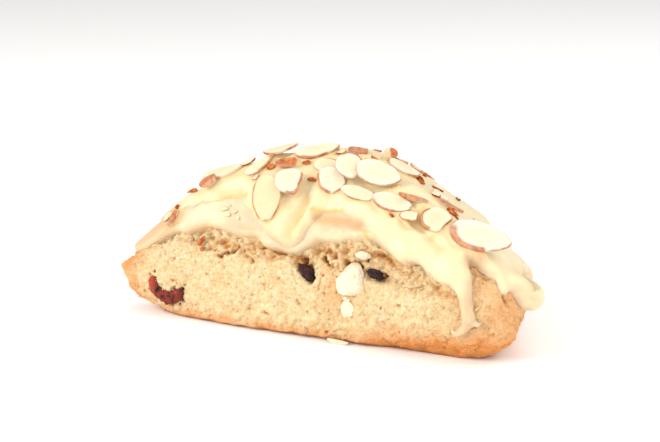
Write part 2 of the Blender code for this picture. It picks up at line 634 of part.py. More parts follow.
def fruit_solid(angle, height, sunk, lie, grow):
    """A wrinkled dried fruit along a bent line on the cut face; grow makes its socket."""
    centre, out, side, up = face_frame(angle, height)
    line = curve_through(lie, FRUIT_STEPS)
    rings = len(line)
    verts, ends = [], []
    for index, (along, rise, radius) in enumerate(line):
        before, after = line[max(0, index - 1)], line[min(rings - 1, index + 1)]
        run = (side * (after[0] - before[0]) + up * (after[1] - before[1])).normalized()
        across = out.cross(run)
        taper = 0.62 if index in (0, rings - 1) else 1.0
        spot = centre + side * along + up * rise - out * sunk
        for corner in range(FRUIT_SIDES):
            turn = 2 * pi * corner / FRUIT_SIDES
            wrinkle = 1 + 0.12 * sin(3 * turn + 1.9 * index) + 0.08 * sin(2.3 * index + height)
            reach = radius * taper * wrinkle + grow
            verts.append(spot + across * cos(turn) * reach + out * sin(turn) * reach)
        if index in (0, rings - 1):
            ends.append(spot + run * (radius * 0.8 + grow) * (-1 if index == 0 else 1))
    return verts + ends, tube_faces(rings, FRUIT_SIDES)


def chip_solid(angle, height, sunk, radii, seed, grow):
    """A blunt, uneven lump of white chocolate set in the cut face."""
    centre, out, side, up = face_frame(angle, height)
    ball = bmesh.new()
    bmesh.ops.create_icosphere(ball, subdivisions=2, radius=1.0)
    verts = []
    for vertex in ball.verts:
        lump = 1 + 0.28 * noise.noise(vertex.co * 1.6 + Vector((seed, 0, 0)))
        x, y, z = (vertex.co[axis] * (radii[axis] * lump + grow) for axis in range(3))
        verts.append(centre - out * sunk + side * x + out * y + up * z)
    faces = [tuple(vertex.index for vertex in face.verts) for face in ball.faces]
    ball.free()
    if side.cross(out).dot(up) < 0:
        faces = [face[::-1] for face in faces]
    return verts, faces


def set_in_crumb(crumb, name, solid, socket, material):
    """A piece in the crumb, in a socket cut a little larger than it."""
    piece = make_object(name, *solid, material)
    cutter = make_object(f"{name}_socket", *socket, material)
    cutter.hide_render = True
    cutter.display_type = "WIRE"
    cut = crumb.modifiers.new(f"{name}_cut", "BOOLEAN")
    cut.operation = "DIFFERENCE"
    cut.solver = "EXACT"
    cut.object = cutter
    return piece


def build():
    clear_scene()
    materials = {name: make_material(name) for name in COLOURS}
    angles = column_angles()
    ways = grid_ways(angles)
    spread = np.broadcast_to(angles[:, None], ways.shape)
    smooth_points, normals = body_points(spread, ways), body_normals(spread, ways)
    relief = crumb_relief(smooth_points, angles, ring(GLAZE_EDGE, angles))
    points = smooth_points + normals * relief[..., None]
    points[:, 0, 2] = 0.0
    crumb = make_crumb(points, materials["crumb"])
    icing = make_icing(points, normals, angles, materials["icing"])
    crumb_tree, _ = solid_tree(crumb)
    drips = [make_drip(index, drip, crumb_tree, materials["icing"]) for index, drip in enumerate(DRIPS)]
    join_into(icing, drips)
    for name, (angle, height, sunk, lie) in FRUIT.items():
        set_in_crumb(crumb, name, fruit_solid(angle, height, sunk, lie, 0.0),
                     fruit_solid(angle, height, sunk, lie, SOCKET_GAP), materials["berry"])
    for name, (angle, height, sunk, radii, seed) in CHIPS.items():
        set_in_crumb(crumb, name, chip_solid(angle, height, sunk, radii, seed, 0.0),
                     chip_solid(angle, height, sunk, radii, seed, SOCKET_GAP), materials["chip"])
    pile = Pile(*solid_tree(icing))
    for number, entry in enumerate(SLICES + tuple(back_slices()), start=1):
        lay_slice(f"almond_{number:02d}", entry, pile, materials["almond"])


build()
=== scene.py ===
from math import cos, hypot, pi, radians, sin

import bpy
import numpy as np
from mathutils import Matrix, Vector
from mathutils.bvhtree import BVHTree
from mathutils.kdtree import KDTree


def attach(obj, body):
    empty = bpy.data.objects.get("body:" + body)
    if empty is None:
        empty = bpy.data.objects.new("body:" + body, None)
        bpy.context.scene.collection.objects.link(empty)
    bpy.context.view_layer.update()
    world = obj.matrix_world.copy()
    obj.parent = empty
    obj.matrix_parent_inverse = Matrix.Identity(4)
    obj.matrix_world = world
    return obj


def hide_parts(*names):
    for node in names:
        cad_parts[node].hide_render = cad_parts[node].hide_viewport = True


# Lengths are in millimetres and angles in degrees until a mesh is made.
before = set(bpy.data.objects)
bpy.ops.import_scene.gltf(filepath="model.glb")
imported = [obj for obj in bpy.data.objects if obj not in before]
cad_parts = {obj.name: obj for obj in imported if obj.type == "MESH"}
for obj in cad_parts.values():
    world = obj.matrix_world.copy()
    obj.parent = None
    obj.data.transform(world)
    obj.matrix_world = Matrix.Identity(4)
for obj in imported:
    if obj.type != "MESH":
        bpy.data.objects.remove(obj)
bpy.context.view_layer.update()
print("frame loaded")

body = {
    "centre": (0.34, -6.7),
    "sides": ((-90, 29.0), (135, 28.0), (5, 59.4), (30, 53.2), (55, 45.0)),   # direction, distance
    "cornerPower": 8,
    "crumbHeight": 47.3,
    "baseLift": 0.9,
    "baseInset": 2.2,
    "tuck": {-168: 9, -158: 11, -150: 3.5, -140: 1, -125: 0.5, -90: 1, -60: 2, -35: 6, -15: 9, 20: 8,
             60: 6, 110: 4, 150: 6},
    "waist": {-160: 12, -125: 11, -90: 11, -60: 12, -35: 14, -10: 14, 20: 13, 60: 12, 110: 11, 150: 11},
    "lean": {-160: 4, -125: 4.5, -90: 5, -60: 5, -35: 4, -10: 4, 20: 5, 60: 5, 110: 5, 150: 5},
    "shoulder": {-160: 19, -125: 26.5, -90: 29, -60: 28, -35: 27, -10: 19, 20: 20, 60: 22, 110: 26,
                 150: 24},
    "domePower": {-160: 2.2, -125: 1.75, -90: 1.7, -60: 1.5, -35: 1.4, -10: 1.4, 20: 1.6, 60: 1.5,
                  110: 1.65, 150: 1.8},
    "domeShares": (0.85, 0.64, 0.42, 0.2, 0.0),
    "knots": (0, 3.2, 8, 15, 22, 29, 36, 46, 57, 67, 77),
    "columns": 700,
    "frontDensity": 3.0,
    "front": ((-174, -162), (0, 16)),       # where the closer columns start and end
}
glazeEdge = {-170: 19.5, -163: 18.0, -157: 18.5, -154: 19.4, -152.6: 24.6, -149.5: 25.1, -147.5: 27.2,
             -144: 27.5, -139: 26.9, -132: 26.6, -126: 27.0, -120: 25.0, -111: 24.8, -103: 24.3,
             -97.5: 25.2, -92.5: 27.2, -87: 28.4, -78: 28.4, -68: 29.5, -53: 30.2, -49: 28.3, -44.5: 25.8,
             -39.5: 26.0, -36.5: 22.8, -34: 21.6, -31.2: 20.8, -29: 26.8, -26.6: 26.6, -25.4: 25.0,
             -24.7: 24.6, -24.3: 20.6, -22.8: 20.8, -21.4: 19.8, -20: 16.6, -17.5: 14.6, -13: 13.8,
             -6: 15.2, 0: 17.8, 12: 15.2, 25: 17.8, 40: 15.0, 52: 19.0, 66: 16.4, 80: 20.8, 96: 22.6,
             108: 19.0, 122: 21.8, 136: 18.6, 150: 21.4, 164: 17.8, 178: 20.6}
flowEdge = {-170: 23.0, -157: 26.5, -156: 29.0, -153.5: 33.0, -150: 35.0, -146: 35.6, -142: 34.0,
            -136: 32.0, -126: 29.2, -115: 27.0, -106: 25.6, -100: 27.8, -97: 31.6, -90: 34.4, -80: 34.6,
            -70: 34.4, -61: 33.6, -55: 32.4, -51: 29.4, -48: 24.0, -40: 15.0, 0: 10.0, 90: 10.0,
            150: 14.0, 178: 18.0}


def smoothStep(value, low, high):
    share = np.clip((value - low) / (high - low), 0.0, 1.0)
    return share * share * (3 - 2 * share)


def between(value, rise, fall):  # 1 from the end of the rise to the start of the fall
    return smoothStep(value, *rise) * (1 - smoothStep(value, *fall))


def lengthOf(vectors):
    return np.linalg.norm(vectors, axis=-1)


def hermite(share, start, slopeIn, end, slopeOut):
    square, cube = share ** 2, share ** 3
    return ((2 * cube - 3 * square + 1) * start + (cube - 2 * square + share) * slopeIn
            + (3 * square - 2 * cube) * end + (cube - square) * slopeOut)


def ring(values, angle):  # smooth closed curve through {angle: value}
    keys = sorted((key % 360, value) for key, value in values.items())
    place = np.array([key for key, _ in keys], float)
    height = np.array([value for _, value in keys], float)
    count = len(keys)
    turned = np.degrees(angle) % 360
    low = (np.searchsorted(place, turned, side="right") - 1) % count
    at = lambda shift: (low + shift) % count
    span = (place[at(1)] - place[at(0)]) % 360
    before = (place[at(0)] - place[at(-1)]) % 360
    after = (place[at(2)] - place[at(1)]) % 360
    share = ((turned - place[at(0)]) % 360) / span
    slopeIn = (height[at(1)] - height[at(-1)]) / (before + span) * span
    slopeOut = (height[at(2)] - height[at(0)]) / (span + after) * span
    return hermite(share, height[at(0)], slopeIn, height[at(1)], slopeOut)


def planRadius(angle):
    total = 0
    for direction, distance in body["sides"]:
        total = total + np.maximum(0, np.cos(angle - radians(direction)) / distance) ** body["cornerPower"]
    return total ** (-1 / body["cornerPower"])


def profileControls(angle):  # radius shares and heights at the knots, from the base to the crown
    radius = planRadius(angle)
    tuck, waist, lean, shoulder, power = (ring(body[name], angle) for name in
                                          ("tuck", "waist", "lean", "shoulder", "domePower"))
    top = 1 - lean / radius
    shares = [(radius - tuck - body["baseInset"]) / radius, (radius - tuck) / radius,
              1 - 0.3 * tuck / radius, 1 + 0 * radius, 1 - 0.3 * lean / radius, top]
    heights = [0 * radius, body["baseLift"] + 0 * radius, waist * 0.42, waist,
               waist + (shoulder - waist) * 0.55, shoulder]
    for share in body["domeShares"]:
        shares.append(top * share)
        heights.append(shoulder + (body["crumbHeight"] - shoulder) * (1 - share ** power))
    return radius, np.stack(shares), np.stack(heights)


def alongProfile(control, way):
    knots = np.array(body["knots"], float) / body["knots"][-1]
    last = len(knots) - 1
    low = np.clip(np.searchsorted(knots, way, side="right") - 1, 0, last - 1)
    column = np.arange(control.shape[1])
    value = lambda index: control[np.clip(index, 0, last), column]
    knot = lambda index: knots[np.clip(index, 0, last)]
    span = knot(low + 1) - knot(low)
    chord = value(low + 1) - value(low)
    slopeIn = np.where(low > 0, (value(low + 1) - value(low - 1)) * span
                       / (knot(low + 1) - knot(low - 1)), chord)
    slopeOut = np.where(low + 2 <= last, (value(low + 2) - value(low)) * span
                        / (knot(low + 2) - knot(low)), chord)
    return hermite((way - knot(low)) / span, value(low), slopeIn, value(low + 1), slopeOut)


def bodyPoints(angle, way):
    angle, way = np.broadcast_arrays(np.atleast_1d(angle), np.atleast_1d(way))
    flat = angle.ravel()
    radius, shares, heights = profileControls(flat)
    share, height = alongProfile(shares, way.ravel()), alongProfile(heights, way.ravel())
    points = np.stack([body["centre"][0] + radius * share * np.cos(flat),
                       body["centre"][1] + radius * share * np.sin(flat), height], -1)
    return points.reshape(*angle.shape, 3)


def bodyNormals(angle, way):
    step = 1e-3
    roundAbout = bodyPoints(angle + step, way) - bodyPoints(angle - step, way)
    upwards = bodyPoints(angle, np.minimum(way + step, 1.0)) - bodyPoints(angle, np.maximum(way - step, 0.0))
    normal = np.cross(roundAbout, upwards)
    length = np.linalg.norm(normal, axis=-1, keepdims=True)
    normal = normal / np.maximum(length, 1e-12)
    normal[length[..., 0] < 1e-9] = (0, 0, 1)
    return normal


def columnAngles(count):  # closer together on the cut side that faces the front
    angles = np.linspace(-pi, pi, 7201)
    radius = planRadius(angles)
    corners = np.stack([radius * np.cos(angles), radius * np.sin(angles)], -1)
    steps = lengthOf(np.diff(corners, axis=0))
    front = between(np.degrees((angles[1:] + angles[:-1]) / 2), *body["front"])
    walked = np.concatenate([[0], np.cumsum(steps * (1 + (body["frontDensity"] - 1) * front))])
    return np.interp(np.arange(count) / count * walked[-1], walked, angles)


class Profiles:  # arc lengths along the profile of every column
    def __init__(self, angles, samples=260):
        self.angles = angles
        self.ways = np.linspace(0, 1, samples)
        points = bodyPoints(angles[:, None], self.ways[None])
        self.heights = np.maximum.accumulate(points[..., 2], axis=1)
        steps = np.linalg.norm(np.diff(points, axis=1), axis=2)
        self.walked = np.concatenate([np.zeros((len(angles), 1)), np.cumsum(steps, axis=1)], axis=1)

    def lengthAtHeight(self, heights):
        return np.array([np.interp(h, col, way) for h, col, way in zip(heights, self.heights, self.walked)])

    def waysAt(self, lengths):
        return np.array([np.interp(row, way, self.ways) for row, way in zip(lengths, self.walked)])
    def wayAtHeight(self, heights):
        return self.waysAt(self.lengthAtHeight(heights)[:, None])[:, 0]


def cellHash(cell, seed):
    value = (cell[..., 0] * 374761393 + cell[..., 1] * 668265263 + cell[..., 2] * 1442695041
             + seed * 974711) & 0xFFFFFFFF
    value = ((value ^ (value >> 13)) * 1274126177) & 0xFFFFFFFF
    return value ^ (value >> 16)


def cellDraws(value):  # three whole numbers up to 1023 from one hash
    return np.stack([value & 1023, value >> 10 & 1023, value >> 20 & 1023], -1)


def softNoise(points, size, seed=0):  # gradient noise, about -1 to 1
    spot = points / size + seed * 7.31
    cell = np.floor(spot).astype(np.int64)
    part = spot - cell
    fade = part ** 3 * (part * (part * 6 - 15) + 10)
    total = 0
    for corner in range(8):
        step = np.array([corner & 1, corner >> 1 & 1, corner >> 2 & 1])
        value = cellHash(cell + step, seed)
        slope = cellDraws(value) / 511.5 - 1
        weight = np.prod(np.where(step == 1, fade, 1 - fade), axis=-1)
        total = total + weight * (slope * (part - step)).sum(-1)
    return total * 1.5


def seedDistance(points, size, seed=0):  # distance to the nearest scattered seed, and its draw 0 to 1
    spot = points / size
    cell = np.floor(spot).astype(np.int64)
    nearest = np.full(spot.shape[:-1], 9.0)
    draw = np.zeros(spot.shape[:-1])
    for step in np.ndindex(3, 3, 3):
        there = cell + np.array(step) - 1
        value = cellHash(there, seed)
        away = lengthOf(spot - there - cellDraws(value) / 1023)
        closer = away < nearest
        nearest = np.where(closer, away, nearest)
        draw = np.where(closer, (value % 977) / 976, draw)
    return nearest * size, draw


def warped(points, amount, size, seed):  # places pushed about by noise
    return points + amount * np.stack([softNoise(points, size, seed + step) for step in range(3)], -1)


def bump(distance, radius):
    return np.maximum(0.0, 1 - (distance / radius) ** 2) ** 2


def distanceTo(line, points):  # distance of each point to a dense line of points
    tree = KDTree(len(line))
    for index, spot in enumerate(line):
        tree.insert(spot, index)
    tree.balance()
    flat = points.reshape(-1, 3)
    return np.array([tree.find(spot)[2] for spot in flat]).reshape(points.shape[:-1])


def added(name, data):  # a new object in the scene, at the origin
    obj = bpy.data.objects.new(name, data)
    bpy.context.scene.collection.objects.link(obj)
    return obj


def plainMesh(worker):  # its mesh with the modifiers applied; the worker itself goes
    mesh = bpy.data.meshes.new_from_object(worker.evaluated_get(bpy.context.evaluated_depsgraph_get()))
    bpy.data.objects.remove(worker, do_unlink=True)
    return mesh


def meshFrom(name, points, faces, material, attributes):
    mesh = bpy.data.meshes.new(name)
    mesh.from_pydata((np.asarray(points) * 0.001).tolist(), [], faces)
    mesh.materials.append(material)
    for key, values in attributes.items():      # one value a point, and 0 for the last points left out
        values = np.ravel(values)
        values = np.append(values, np.zeros(len(points) - len(values)))
        mesh.attributes.new(key, "FLOAT", "POINT").data.foreach_set("value", values.astype(np.float32))
    mesh.shade_smooth()
    obj = added(name, mesh)
    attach(obj, "root")
    return obj


def bandFaces(columns, rows, offset=0, flip=False):  # quads of a closed band stored column by column
    column, row = np.meshgrid(np.arange(columns), np.arange(rows - 1), indexing="ij")
    a = offset + column * rows + row
    b = offset + (column + 1) % columns * rows + row
    quads = np.stack([a, b, b + 1, a + 1], -1).reshape(-1, 4)
    return (quads[:, ::-1] if flip else quads).tolist()


def fanFaces(columns, rows, row, tip, offset=0, flip=False):
    here = offset + np.arange(columns) * rows + row
    following = offset + (np.arange(columns) + 1) % columns * rows + row
    fan = np.stack([here, following, np.full(columns, tip)], -1)
    return (fan[:, ::-1] if flip else fan).tolist()


def addNode(tree, kind, inputs, **settings):  # an input is a value or another node's socket
    made = tree.nodes.new(kind)
    for key, value in settings.items():
        setattr(made, key, value)
    for key, value in inputs.items():
        socket = made.inputs[key] if isinstance(key, int) else next(
            socket for socket in made.inputs if socket.name == key and socket.enabled)
        if isinstance(value, bpy.types.NodeSocket):
            tree.links.new(value, socket)
        else:
            socket.default_value = value
    return made


class Finish:  # a material, and the short steps that build it
    def __init__(self, name, look):
        self.material = bpy.data.materials.new(name)
        self.material.use_nodes = True
        self.shader = self.material.node_tree.nodes["Principled BSDF"]
        self.shader.inputs["Roughness"].default_value = look["roughness"]
        self.shader.inputs["Specular IOR Level"].default_value = look["specular"]
        self.shader.inputs["Subsurface Weight"].default_value = look["subsurface"]
        self.shader.inputs["Subsurface Radius"].default_value = look["radius"]
        self.shader.inputs["Subsurface Scale"].default_value = 0.001

    def add(self, kind, inputs, **settings):
        return addNode(self.material.node_tree, kind, inputs, **settings)

    def mix(self, share, first, second):
        first, second = (((*tone, 1.0) if isinstance(tone, tuple) else tone) for tone in (first, second))
        return self.add("ShaderNodeMix", {0: share, 6: first, 7: second}, data_type="RGBA").outputs[2]

    def times(self, first, second, operation="MULTIPLY"):
        return self.add("ShaderNodeMath", {0: first, 1: second}, operation=operation).outputs[0]

    def ranged(self, value, low, high):  # 0 at the low value, 1 at the high one
        return self.add("ShaderNodeMapRange", {"Value": value, "From Min": low, "From Max": high}).outputs[0]

    def noise(self, scale, detail=4, rough=0.55, low=0.35, high=0.65):
        place = self.add("ShaderNodeTexCoord", {}).outputs["Object"]
        texture = self.add("ShaderNodeTexNoise", {"Vector": place, "Scale": scale, "Detail": detail,
                                                  "Roughness": rough})
        return self.ranged(texture.outputs["Fac"], low, high)

    def cells(self, scale, middle, rim):  # 1 in the middle of a cell, 0 from its rim on
        place = self.add("ShaderNodeTexCoord", {}).outputs["Object"]
        texture = self.add("ShaderNodeTexVoronoi", {"Vector": place, "Scale": scale})
        return self.ranged(texture.outputs["Distance"], rim, middle)

    def painted(self, name, tone, colour):  # the colour where the mesh's own attribute says so
        share = self.add("ShaderNodeAttribute", {}, attribute_name=name).outputs["Fac"]
        return self.mix(share, tone, colour)

    def done(self, tone, height, strength, distance):
        tree = self.material.node_tree
        tree.links.new(tone, self.shader.inputs["Base Color"])
        bumped = self.add("ShaderNodeBump", {"Strength": strength, "Distance": distance, "Height": height})
        tree.links.new(bumped.outputs["Normal"], self.shader.inputs["Normal"])
        return self.material


# Crumb colours: the baking brown also darkens the middle of the cut side as painted shade; the next two are
# painted shade in pores, crevices, tears and hollows; the last is the dark bottom crust with painted contact
# shadow
crumbLook = {
    "pale": (0.91, 0.77, 0.50), "warm": (0.79, 0.54, 0.26), "speck": (0.64, 0.26, 0.07),
    "brownAndShade": (0.78, 0.32, 0.10), "pit": (0.68, 0.30, 0.08), "deepShade": (0.33, 0.11, 0.03),
    "crustAndContactShadow": (0.42, 0.13, 0.03),
    "roughness": 0.8, "specular": 0.2, "subsurface": 0.3, "radius": (1.3, 0.6, 0.25),
    "patches": 0.5, "specks": 0.6, "grit": 0.6, "bump": (0.7, 0.0006),     # bump: strength and metres
}


def bakedCrumb():
    look, finish = crumbLook, Finish("bakedCrumb", crumbLook)
    tone = finish.mix(finish.noise(720, 7, 0.72, 0.36, 0.68), look["pale"], look["warm"])
    patches = finish.times(finish.noise(110, 5, 0.6, 0.45, 0.7), look["patches"])
    tone = finish.mix(patches, tone, look["warm"])
    specks = finish.times(finish.cells(1150, 0.1, 0.32), finish.noise(300, low=0.45, high=0.6))
    tone = finish.mix(finish.times(specks, look["specks"]), tone, look["speck"])
    # from the mesh's own values: baking brown with painted shade, painted shade in pits and deep tears, and
    # the bottom crust with painted contact shadow
    for name in ("brownAndShade", "pit", "deepShade", "crustAndContactShadow"):
        tone = finish.painted(name, tone, look[name])
    grit = finish.times(finish.cells(1300, 0.0, 0.5), look["grit"])
    height = finish.times(finish.noise(1700, 6, 0.7, 0.25, 0.75), grit, "ADD")
    return finish.done(tone, height, *look["bump"])


# Colours of the pour: thick and thin icing, an ochre that is painted shade in creases, hollows and round the
# slices, and a pink-brown that is the thin glaze's tint with painted shade under the pour's lip
icingLook = {
    "thick": (0.77, 0.645, 0.40), "thin": (0.68, 0.52, 0.34), "paintedShade": (0.72, 0.43, 0.12),
    "glazeTintAndShade": (0.60, 0.36, 0.18), "roughness": 0.36, "specular": 0.4, "subsurface": 0.4,
    "radius": (2.4, 1.5, 0.6), "bump": (0.18, 0.0006),
}


def pouredIcing():
    look, finish = icingLook, Finish("pouredIcing", icingLook)
    tone = finish.mix(finish.noise(220, 3, 0.5, 0.45, 0.7), look["thin"], look["thick"])
    # from the mesh's own values: thickness, glaze tint with painted shade, and painted shade
    for name in ("thick", "glazeTintAndShade", "paintedShade"):
        tone = finish.painted(name, tone, look[name])
    return finish.done(tone, finish.noise(320, 3, 0.5, 0.2, 0.8), *look["bump"])


almondLook = {
    "face": (0.77, 0.73, 0.59), "cream": (0.73, 0.57, 0.35), "grain": (0.74, 0.62, 0.40),
    "skin": (0.30, 0.055, 0.014), "skinLight": (0.62, 0.18, 0.035), "roughness": 0.6, "specular": 0.15,
    "subsurface": 0.1, "radius": (1.0, 0.8, 0.5), "bump": (0.25, 0.0002),
}


def almondSlice():
    look, finish = almondLook, Finish("almondSlice", almondLook)
    face = finish.painted("cream", look["face"], look["cream"])
    face = finish.mix(finish.noise(420, low=0.52, high=0.8), face, look["grain"])
    skin = finish.mix(finish.noise(800, low=0.4, high=0.62), look["skin"], look["skinLight"])
    return finish.done(finish.painted("skin", face, skin), finish.noise(1100, 3, 0.5, 0.3, 0.7),
                       *look["bump"])


fruitLook = {
    "dark": (0.014, 0.004, 0.004), "red": (0.42, 0.05, 0.02), "tint": (0.075, 0.011, 0.008),
    "roughness": 0.45, "specular": 0.25, "subsurface": 0.15, "radius": (1.2, 0.3, 0.2), "coat": 0.06,
    "bump": (0.6, 0.0005),
}


def driedFruit():
    look, finish = fruitLook, Finish("driedFruit", fruitLook)
    finish.shader.inputs["Coat Weight"].default_value = look["coat"]
    tone = finish.mix(finish.noise(450, low=0.45, high=0.62), look["dark"], look["tint"])
    tone = finish.painted("red", tone, look["red"])
    return finish.done(tone, finish.noise(1300, 5, 0.6, 0.3, 0.7), *look["bump"])


chipLook = {
    "white": (0.88, 0.80, 0.64), "warm": (0.86, 0.71, 0.49), "roughness": 0.5, "specular": 0.35,
    "subsurface": 0.25, "radius": (1.4, 1.1, 0.7), "bump": (0.6, 0.0005),
}


def whiteChip():
    look, finish = chipLook, Finish("whiteChip", chipLook)
    tone = finish.mix(finish.noise(420), look["white"], look["warm"])
    return finish.done(tone, finish.noise(1000, 5, 0.65, 0.3, 0.7), *look["bump"])


materials = {"crumb": bakedCrumb(), "icing": pouredIcing(), "almond": almondSlice(),
             "berry": driedFruit(), "white_chip": whiteChip()}
print("materials made")


def nodeShape(name):  # welded points in millimetres and triangles of a CAD node
    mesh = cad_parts[name].data
    raw = np.array([vertex.co for vertex in mesh.vertices]) * 1000
    mesh.calc_loop_triangles()
    triangles = np.array([triangle.vertices for triangle in mesh.loop_triangles])
    _, first, back = np.unique(np.round(raw, 2), axis=0, return_index=True, return_inverse=True)
    triangles = back.ravel()[triangles]
    return raw[first], triangles[np.all(triangles != np.roll(triangles, 1, axis=1), axis=1)]


fruitNodes = ("cranberry_front", "berry_centre", "berry_right", "berry_back")
chipNodes = ("white_chip_large", "white_chip_small", "white_chip_back")
insetPoints = {name: nodeShape(name)[0] for name in fruitNodes + chipNodes}

# The crumb: lumps, torn line under the icing, pits, and hollows where fruit and chips sit
crumb = {
    "sideRows": 122, "topRows": 6, "underIcing": 3.0, "lump": (17.0, 0.55), "swell": (5.5, 0.55),
    "grain": ((3.0, 0.95), (1.5, 0.65), (0.85, 0.36)),
    "tornBelow": {-170: 12, -157: 14, -152: 22.0, -142: 21.6, -133: 22.6, -122: 21.2, -110: 22.6,
        -97: 19.6, -83: 20.6, -70: 20.8, -55: 19.6, -45: 18.4, -38: 18.8, -30: 24, -20: 26, 0: 30, 90: 30,
        170: 26},
    "baseWaver": 0.55, "recess": 0.9, "tornRoughness": 1.25, "grainsPerSquare": 0.3,
    "grainSize": (0.16, 0.42), "grainSeed": 7,
    # pores: spacing, share of places that have one, depth for its radius, seed
    "pores": ((5.4, 0.3, 1.0, 41), (2.7, 0.45, 1.1, 42), (1.6, 0.6, 1.1, 43), (1.05, 0.5, 0.9, 48)),
    "crackBelow": 2.6, "crackHalfWidth": 1.9, "crackDepth": 1.9,
    # tears and holes: angle and height along each, then radius and depth
    "tears": ((((-138, 20.6), (-136, 21.4), (-133, 23.8)), 1.0, 2.4), (((-142.2, 22.0),), 1.4, 1.2),
        (((-123.5, 25.0), (-116, 24.4), (-109.8, 23.8)), 1.0, 2.2),
        (((-127.5, 21.6), (-126, 20.8)), 1.2, 1.8), (((-122.8, 21.6),), 1.0, 1.2),
        (((-98, 22.8), (-94, 20.6), (-90, 18.4)), 2.0, 2.6), (((-84, 24.2), (-79, 22.1)), 1.1, 2.6),
        (((-77.8, 25.6), (-75, 25.2)), 1.0, 1.8), (((-69.5, 23.4), (-63, 23.8)), 1.4, 2.6),
        (((-97.5, 10.8),), 0.8, 0.9), (((-46.8, 13.5),), 1.0, 1.0), (((-50, 9.6), (-51, 8.8)), 0.9, 0.9),
        (((-58, 21.8), (-52, 21.4)), 1.4, 1.6), (((-104, 23.2), (-101, 22.4)), 1.2, 1.4),
        (((40, 12.0),), 2.4, 1.2), (((75, 15.0), (79, 15.6)), 1.8, 1.6), (((112, 14.0),), 2.4, 1.4),
        (((140, 12.0),), 2.0, 1.1), (((-5, 10.5),), 2.2, 1.0), (((25, 10.0), (29, 9.4)), 1.3, 1.4),
        (((150, 14.0), (153, 15.0)), 1.4, 1.5)),
    "knobs": ((-156.5, 13.0, 4.0, 0.5), (-147, 5.5, 6.0, 0.7), (-62, 5.0, 8.0, 0.6),
        (-153.5, 21.6, 3.4, 0.9)),
    "cutSide": ((-160, -150), (-32, -16)), "rightEnd": ((-40, -18), (150, 170)),
    "leftEnd": (-155.8, -151.2), "hollowReach": 14,
}


def softened(values, reach=9):  # running mean round the closed ring
    return sum(np.roll(values, shift) for shift in range(-reach, reach + 1)) / (2 * reach + 1)


def bodyGrid(angles, ways):  # the angles at all ways, the points there and their normals
    spread = np.broadcast_to(angles[:, None], ways.shape)
    return spread, bodyPoints(spread, ways), bodyNormals(spread, ways)


def crumbWays(edge, profiles):  # rows up the side to under the icing, and a few on to the crown
    edgeLength = profiles.lengthAtHeight(softened(edge))
    side = np.linspace(0, 1, crumb["sideRows"])[None] * (edgeLength + crumb["underIcing"])[:, None]
    rest = profiles.walked[:, -1] - side[:, -1]
    top = side[:, -1:] + rest[:, None] * (np.arange(1, crumb["topRows"] + 1) / (crumb["topRows"] + 1))[None]
    return profiles.waysAt(np.concatenate([side, top], axis=1))


def poreDepth(points):  # pores of several sizes, in patches
    pit = np.zeros(points.shape[:2])
    patches = smoothStep(softNoise(points, 8.0, 46), -0.5, 0.5)
    stringy = warped(points, 0.7, 2.4, 17)
    for size, share, depth, seed in crumb["pores"]:
        away, draw = seedDistance(stringy, size, seed)
        radius = size * (0.15 + 0.2 * (draw / share))
        pit += np.where(draw < share * (0.4 + 0.6 * patches), bump(away, radius) * radius * depth, 0)
    return pit


def tearDepth(points, below):  # the crack along the icing, then the tears and holes
    torn = smoothStep(softNoise(points, 7.0, 31), -0.25, 0.35)
    crackAt = crumb["crackBelow"] + 1.2 * softNoise(points, 6.0, 32)
    crack = torn * bump(below - crackAt, crumb["crackHalfWidth"]) * (0.6 + 0.7 * softNoise(points, 2.2, 33))
    ragged = warped(points, 1.1, 1.9, 14)
    tear = np.maximum(0, crack) * crumb["crackDepth"]
    for line, radius, depth in crumb["tears"]:
        tear = np.maximum(tear, depth * bump(lineDistance(ragged, line), radius * 1.25))
    return tear


def hollowShare(points):  # 1 in the hollows round the fruit and chips
    hollow = np.zeros(points.shape[:2])
    reach = 0.6 + 0.7 * softNoise(points, 1.4, 44)
    for inset in insetPoints.values():
        near = lengthOf(points - inset.mean(0)) < crumb["hollowReach"]
        away = np.full(points.shape[:2], 9.0)
        away[near] = distanceTo(inset, points[near])
        hollow = np.maximum(hollow, smoothStep(reach - away, 0.0, 0.7))
    return hollow


def browningAndShade(points, around):  # brown at the foot and both ends, and painted shade darkening the middle of the cut side
    height = points[..., 2]
    low = 1 - smoothStep(height + 1.6 * softNoise(points, 5, 51), 0.4, 6.0)
    rightEnd = between(around, *crumb["rightEnd"])
    leftEnd = np.maximum(1 - smoothStep(around, *crumb["leftEnd"]), smoothStep(around, *crumb["rightEnd"][1]))
    blotch = 0.5 + 0.5 * softNoise(points, 7, 52)
    # painted shade: a darker warm patch in the middle of the cut side
    middle = 0.42 * bump(np.hypot((around + 74) / 1.6, height - 15), 11)
    rightLow = smoothStep(around, -72, -38) * (1 - smoothStep(height + 2.5 * softNoise(points, 5, 56), 3, 11))
    fleck = np.clip(0.5 + softNoise(points, 2.0, 57), 0, 1)
    return np.clip(0.7 * low + rightEnd * (0.28 + 0.75 * blotch) + 0.85 * rightLow
                   + leftEnd * (0.3 + 0.4 * blotch + 0.5 * fleck) + middle, 0, 1)


